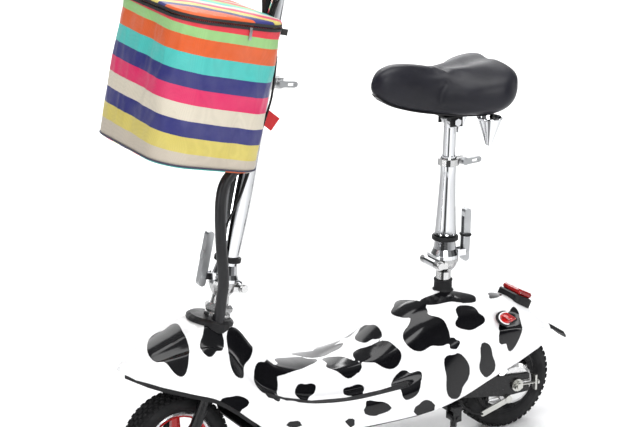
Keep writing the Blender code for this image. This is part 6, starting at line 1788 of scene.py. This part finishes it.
@dataclass(frozen=True)
class Hardware:
    """Bolts, rubber rings, lamp rims and other small fittings."""

    skin_wall: float = 0.0005
    drop_points: int = 56
    bolt_side: float = 0.0168

    @staticmethod
    def band(name: str, body: str, place: Matrix, up: float, inner: float, outer: float, height: float) -> None:
        """Build a wide rubber band round a tube.

        Args:
            name: the piece's name.
            body: the body it rides on.
            place: the tube's frame.
            up: its lower edge.
            inner: its inner radius.
            outer: its outer radius.
            height: its height.
        """
        profile = rounded([(inner, up), (outer, up), (outer, up + height), (inner, up + height)], 0.0014, 4)
        put(lathe(name, profile, plain(RUBBER), place, 56), body)

    @staticmethod
    def loop(name: str, body: str, place: Matrix, hub: tuple, reach: tuple, thick: float) -> None:
        """Build an oval rubber loop round a lever.

        Args:
            name: the piece's name.
            body: the body it rides on.
            place: the frame of its numbers.
            hub: its middle.
            reach: its half length and half width.
            thick: the rubber's radius.
        """
        line = [(hub[0] + reach[0] * math.cos(2 * math.pi * i / 40), hub[1] + reach[1] * math.sin(2 * math.pi * i / 40),
                 hub[2]) for i in range(40)]
        put(tube(name, line, thick, plain(RUBBER), 12, place, True), body)

    @staticmethod
    def boot() -> None:
        """Build the rubber boot round the seat mast."""
        profile = rounded([(0.0153, 0.0140), (0.0178, 0.0140), (0.0178, 0.0105), (0.0170, 0.0095), (0.0172, -0.0045),
                           (0.0200, -0.0075), (0.0225, -0.0125), (0.0153, -0.0125)], 0.0010, 3)
        put(lathe("mast_boot", profile, plain(RUBBER), SEAT, 56), "chassis", "seat_boot", slot="rubber")

    def tubes(self) -> None:
        """Build the tubes' plated skins, which carry the taper as a smooth curve."""
        skins = (("stem_skin", "stem", COLUMN, ((0.0188, 0.1060), (0.0199, 0.1250), (0.0225, 0.2150),
                                                (0.0210, 0.3300), (0.0208, 0.4160))),
                 ("bar_skin", "bar", COLUMN, ((0.01603, 0.4410), (0.01603, 0.5060), (0.01612, 0.5100),
                                              (0.01612, 0.6400))),
                 ("seat_tube_skin", "seat_mast", SEAT, ((0.0207, 0.1020), (0.0192, 0.1160), (0.0150, 0.2060),
                                                        (0.0150, 0.2345))),
                 ("seat_post_skin", "seat", SEAT, ((0.0121, 0.2500), (0.0121, 0.3080))))
        for name, body, place, rows in skins:
            if len(rows) > 2:
                path = curve_points([(r, 0.0, h) for r, h in rows], 6)
            else:
                path = [Vector((r, 0.0, h)) for r, h in rows]
            outer = [(p.x, p.z) for p in path]
            inner = [(p.x - self.skin_wall, p.z) for p in reversed(path)]
            put(lathe(name, outer + inner, plain(CHROME), place, 96), body)

    def marker(self, side: int) -> None:
        """Build the dark base and the pale rim round one side marker.

        Args:
            side: -1 for the left, 1 for the right.
        """
        out = Matrix.Rotation(math.radians(63) * -side, 4, "X")
        place = Matrix.Translation((-0.040 + REAR_X, side * 0.0745, 0.2455))
        slope = Matrix.Rotation(math.radians(16), 4, "Y")
        sweep = Matrix.Rotation(math.radians(-10 * side), 4, "Z")
        frame = place @ sweep @ slope @ out
        name = "left" if side < 0 else "right"
        drop = []
        count = self.drop_points
        for i in range(count):
            angle = 2 * math.pi * i / count
            c, s = math.cos(angle), math.sin(angle)
            drop.append(Vector((0.0215 * c + 0.0035 * max(0.0, c) ** 3, 0.0112 * s * (1 - 0.62 * max(0.0, c)), 0.0)))
        rings = ((1.0, -0.004), (1.0, 0.0030), (0.90, 0.0058), (0.62, 0.0074), (0.25, 0.0080))
        verts = [frame @ (spot * share + Vector((0.0, 0.0, up))) for share, up in rings for spot in drop]
        glass = add_object(f"marker_glass_{name}", verts, ring_faces(len(rings), count),
                           lens("marker_glass", (0.62, 0.008, 0.008), 0.15))
        put(glass, "chassis", f"side_marker_{name}", slot="red_lens")
        base = tube(f"marker_base_{name}", [spot * 1.13 + Vector((0.0, 0.0, 0.0002)) for spot in drop], 0.0026,
                    plain(BLACK_PLASTIC), 12, frame, True)
        put(base, "chassis")
        front = [spot * 1.02 + Vector((0.0, 0.0, 0.0040)) for spot in drop if spot.x < 0.004]
        put(tube(f"marker_rim_{name}", front, 0.0014, plain(WHITE_PLASTIC), 10, frame), "chassis")

    def build(self) -> None:
        """Build the small fittings."""
        self.band("stem_band", "stem", COLUMN, 0.100, 0.0186, 0.0245, 0.0085)
        self.band("seat_band", "seat_mast", SEAT, 0.091, 0.0207, 0.0248, 0.0075)
        self.loop("latch_band", "seat_latch_body", SEAT, (0.0455, 0.0, 0.0948), (0.0085, 0.0115), 0.0022)
        self.boot()
        self.tubes()
        for side in (-1, 1):
            self.marker(side)
            word = "left" if side < 0 else "right"
            put(bolt(f"stem_hinge_bolt_{word}", (0.0275, side * self.bolt_side, 0.057), side, COLUMN), "steering")
            put(bolt(f"seat_hinge_bolt_{word}", (-0.0265, side * self.bolt_side, 0.049), side, SEAT), "chassis")


PARTS = (Shell(), Basket(), Saddle(), Tyre("front_tyre", "front_wheel", FRONT_AXLE),
         Tyre("rear_tyre", "rear_wheel", REAR_AXLE), Drive(), Cables(), Controls(), Hardware())


# The studio

@dataclass(frozen=True)
class Studio:
    """Camera, lights and the pale backdrop."""

    eye: tuple = (-2.1351, -3.5872, 1.7780)
    aim: tuple = (-0.0705, 0.0, 0.488)
    roll: float = math.radians(0.12)
    exposure: float = -1.0
    lens: float = 135.0

    def camera(self) -> None:
        """Set the camera at the photograph's angle."""
        data = bpy.data.cameras.new("camera")
        data.lens = self.lens
        data.sensor_width = 36.0
        data.clip_end = 60.0
        item = placed("camera", data)
        item.matrix_world = self.looking(self.eye, self.aim) @ Matrix.Rotation(self.roll, 4, "Z")
        bpy.context.scene.camera = item

    @staticmethod
    def looking(spot: tuple, aim: tuple) -> Matrix:
        """Return the frame of a camera or light that stands at one point and faces another."""
        turn = (Vector(aim) - Vector(spot)).to_track_quat("-Z", "Y").to_matrix().to_4x4()
        return Matrix.Translation(spot) @ turn

    def light(self, name: str, spot: tuple, aim: tuple, size: tuple, power: float) -> None:
        """Add a soft rectangular light.

        Args:
            name: its name.
            spot: where it is.
            aim: what it faces.
            size: its width and height.
            power: its power in watts.
        """
        data = bpy.data.lights.new(name, "AREA")
        data.shape = "RECTANGLE"
        data.size, data.size_y = size
        data.energy = power
        placed(name, data).matrix_world = self.looking(spot, aim)

    def lights(self) -> None:
        """Light the scooter like a product shot on white."""
        middle = (0.0, 0.0, 0.4)
        for row in (("top", (-0.2, -0.4, 2.6), middle, (2.4, 1.8), 118.0),
                    ("near_side", (-0.6, -3.0, 1.6), middle, (1.7, 1.6), 96.0),
                    ("left_strip", (-2.9, -0.6, 1.1), middle, (0.55, 2.0), 44.0),
                    ("right_strip", (2.7, -1.2, 1.2), middle, (0.45, 2.0), 30.0),
                    ("rim", (0.6, 2.6, 1.9), middle, (2.4, 1.2), 40.0),
                    ("backdrop_wash", (1.6, 2.9, 3.6), (2.6, 4.6, 0.4), (3.6, 1.6), 420.0)):
            self.light(*row)
        world = bpy.data.worlds.new("studio")
        world.use_nodes = True
        nodes, links = world.node_tree.nodes, world.node_tree.links
        spot = nodes.new("ShaderNodeTexCoord")
        split = nodes.new("ShaderNodeSeparateXYZ")
        ramp = nodes.new("ShaderNodeValToRGB")
        scale = nodes.new("ShaderNodeMapRange")
        scale.inputs["From Min"].default_value = -1.0
        for output, socket in ((spot.outputs["Generated"], split.inputs["Vector"]),
                               (split.outputs["Z"], scale.inputs["Value"]),
                               (scale.outputs["Result"], ramp.inputs["Fac"])):
            links.new(output, socket)
        stops = ((0.0, 0.30), (0.44, 0.20), (0.52, 0.10), (0.60, 0.16), (0.72, 0.75), (1.0, 1.0))
        while len(ramp.color_ramp.elements) < len(stops):
            ramp.color_ramp.elements.new(0.5)
        for element, (place, level) in zip(ramp.color_ramp.elements, stops):
            element.position = place
            element.color = (level * 0.97, level * 0.985, level, 1.0)
        back = nodes["Background"]
        links.new(ramp.outputs["Color"], back.inputs["Color"])
        back.inputs["Strength"].default_value = 0.75
        bpy.context.scene.world = world

    def colours(self) -> None:
        """Keep the colours as plain as the product photograph's."""
        settings = bpy.context.scene.view_settings
        settings.view_transform = "Standard"
        settings.look = "None"
        settings.exposure = self.exposure

    def backdrop(self) -> None:
        """Make a white sweep that runs from the floor up behind the scooter."""
        profile = [(-14.0, 0.0), (4.0, 0.0)]
        for step in range(1, 13):
            angle = math.radians(90 * step / 12)
            profile.append((4.0 + 2.5 * math.sin(angle), 2.5 - 2.5 * math.cos(angle)))
        profile.append((6.5, 9.0))
        away = (Vector(self.aim) - Vector(self.eye)).to_2d().normalized()
        side = Vector((-away.y, away.x))
        verts = []
        for far, up in profile:
            for reach in (-12.0, 12.0):
                verts.append((away.x * far + side.x * reach, away.y * far + side.y * reach, up))
        faces = [(2 * i, 2 * i + 1, 2 * i + 3, 2 * i + 2) for i in range(len(profile) - 1)]
        tree = Tree("backdrop")
        tree.link(tree.mix(tree.noise(0.8, 2.0), (0.93, 0.93, 0.935), (0.90, 0.90, 0.905)),
                  tree.shader.inputs["Base Color"])
        tree.set(Roughness=0.75, Specular_IOR_Level=0.15)
        sweep = add_object("backdrop", verts, faces, tree.material)
        if sweep.data.polygons[0].normal.z < 0:
            sweep.data.flip_normals()


# CAD nodes that keep their own solids

NODE_FINISHES = {
    BLACK_PAINT: ("main_frame", "fork", "kickstand_leg"),
    BLACK_PLASTIC: ("belly_pan", "front_fender", "fairing_cap", "battery_pack", "tail_lamp_base",
                    "headlight_housing", "brake_perch_left", "brake_perch_right"),
    RUBBER: ("mud_flap", "rear_brake_cable", "foot_strip_left", "foot_strip_right"),
    ZINC: ("controller", "drive_motor", "motor_pinion", "rear_sprocket", "rear_axle", "front_axle",
           "rear_brake_arm"),
    CASTING: ("brake_housing", "head_nut", "stem_base", "seat_base", "stem_clamp", "seat_clamp"),
    ALLOY: ("stem_latch", "seat_latch", "stem_clamp_lever", "seat_clamp_lever", "brake_lever_left",
            "brake_lever_right"),
    CHROME: ("stem_tube", "handlebar", "seat_tube", "seat_post"),
}
BEVELS = {
    "stem_base": 0.0012, "seat_base": 0.0012, "stem_latch": 0.0011, "seat_latch": 0.0011,
    "stem_clamp": 0.0010, "seat_clamp": 0.0010, "stem_clamp_lever": 0.0008, "seat_clamp_lever": 0.0008,
    "head_nut": 0.0010, "fork": 0.0010, "main_frame": 0.0008, "battery_pack": 0.0025, "controller": 0.0008,
    "brake_perch_left": 0.0008, "brake_perch_right": 0.0008, "headlight_housing": 0.0008,
    "tail_lamp_base": 0.0010, "fairing_cap": 0.0008, "belly_pan": 0.0008, "kickstand_leg": 0.0008,
    "brake_lever_left": 0.0010, "brake_lever_right": 0.0010, "rear_sprocket": 0.0003,
    "drive_motor": 0.0008, "rear_brake_arm": 0.0006, "brake_housing": 0.0008, "front_fender": 0.0008,
}


def dress_nodes() -> None:
    """Give every CAD node that keeps its solid its finish and its softened edges."""
    for finish, nodes in NODE_FINISHES.items():
        for node in nodes:
            dress(node, plain(finish))
    dress("front_rim", wheel_paint())
    dress("rear_rim", plain(BLACK_PAINT))
    dress("tail_lamp_lens", lens("red_lens", (0.55, 0.008, 0.008)))
    dress("horn_button", plain(RED_PAINT))
    dress("headlight_lens", lens("clear_lens", (0.92, 0.93, 0.94), 0.9))


def dress(node: str, material: Material) -> None:
    """Set one CAD node's material and bevel.

    Args:
        node: the node's name.
        material: its material.
    """
    item = bpy.data.objects[node]
    item.data.materials.clear()
    item.data.materials.append(material)
    shade(item.data, 32)
    if node in BEVELS:
        soft = item.modifiers.new("soften", "BEVEL")
        soft.width = BEVELS[node]
        soft.segments = 2
        soft.limit_method = "ANGLE"
        soft.angle_limit = math.radians(38)
        soft.harden_normals = True


def main() -> None:
    """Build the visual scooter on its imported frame."""
    logging.basicConfig(level=logging.INFO, format="%(name)s: %(message)s")
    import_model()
    studio = Studio()
    studio.camera()
    dress_nodes()
    for part in PARTS:
        part.build()
        LOG.info("built %s", type(part).__name__)
    studio.lights()
    studio.backdrop()
    studio.colours()


if __name__ == "__main__":
    main()
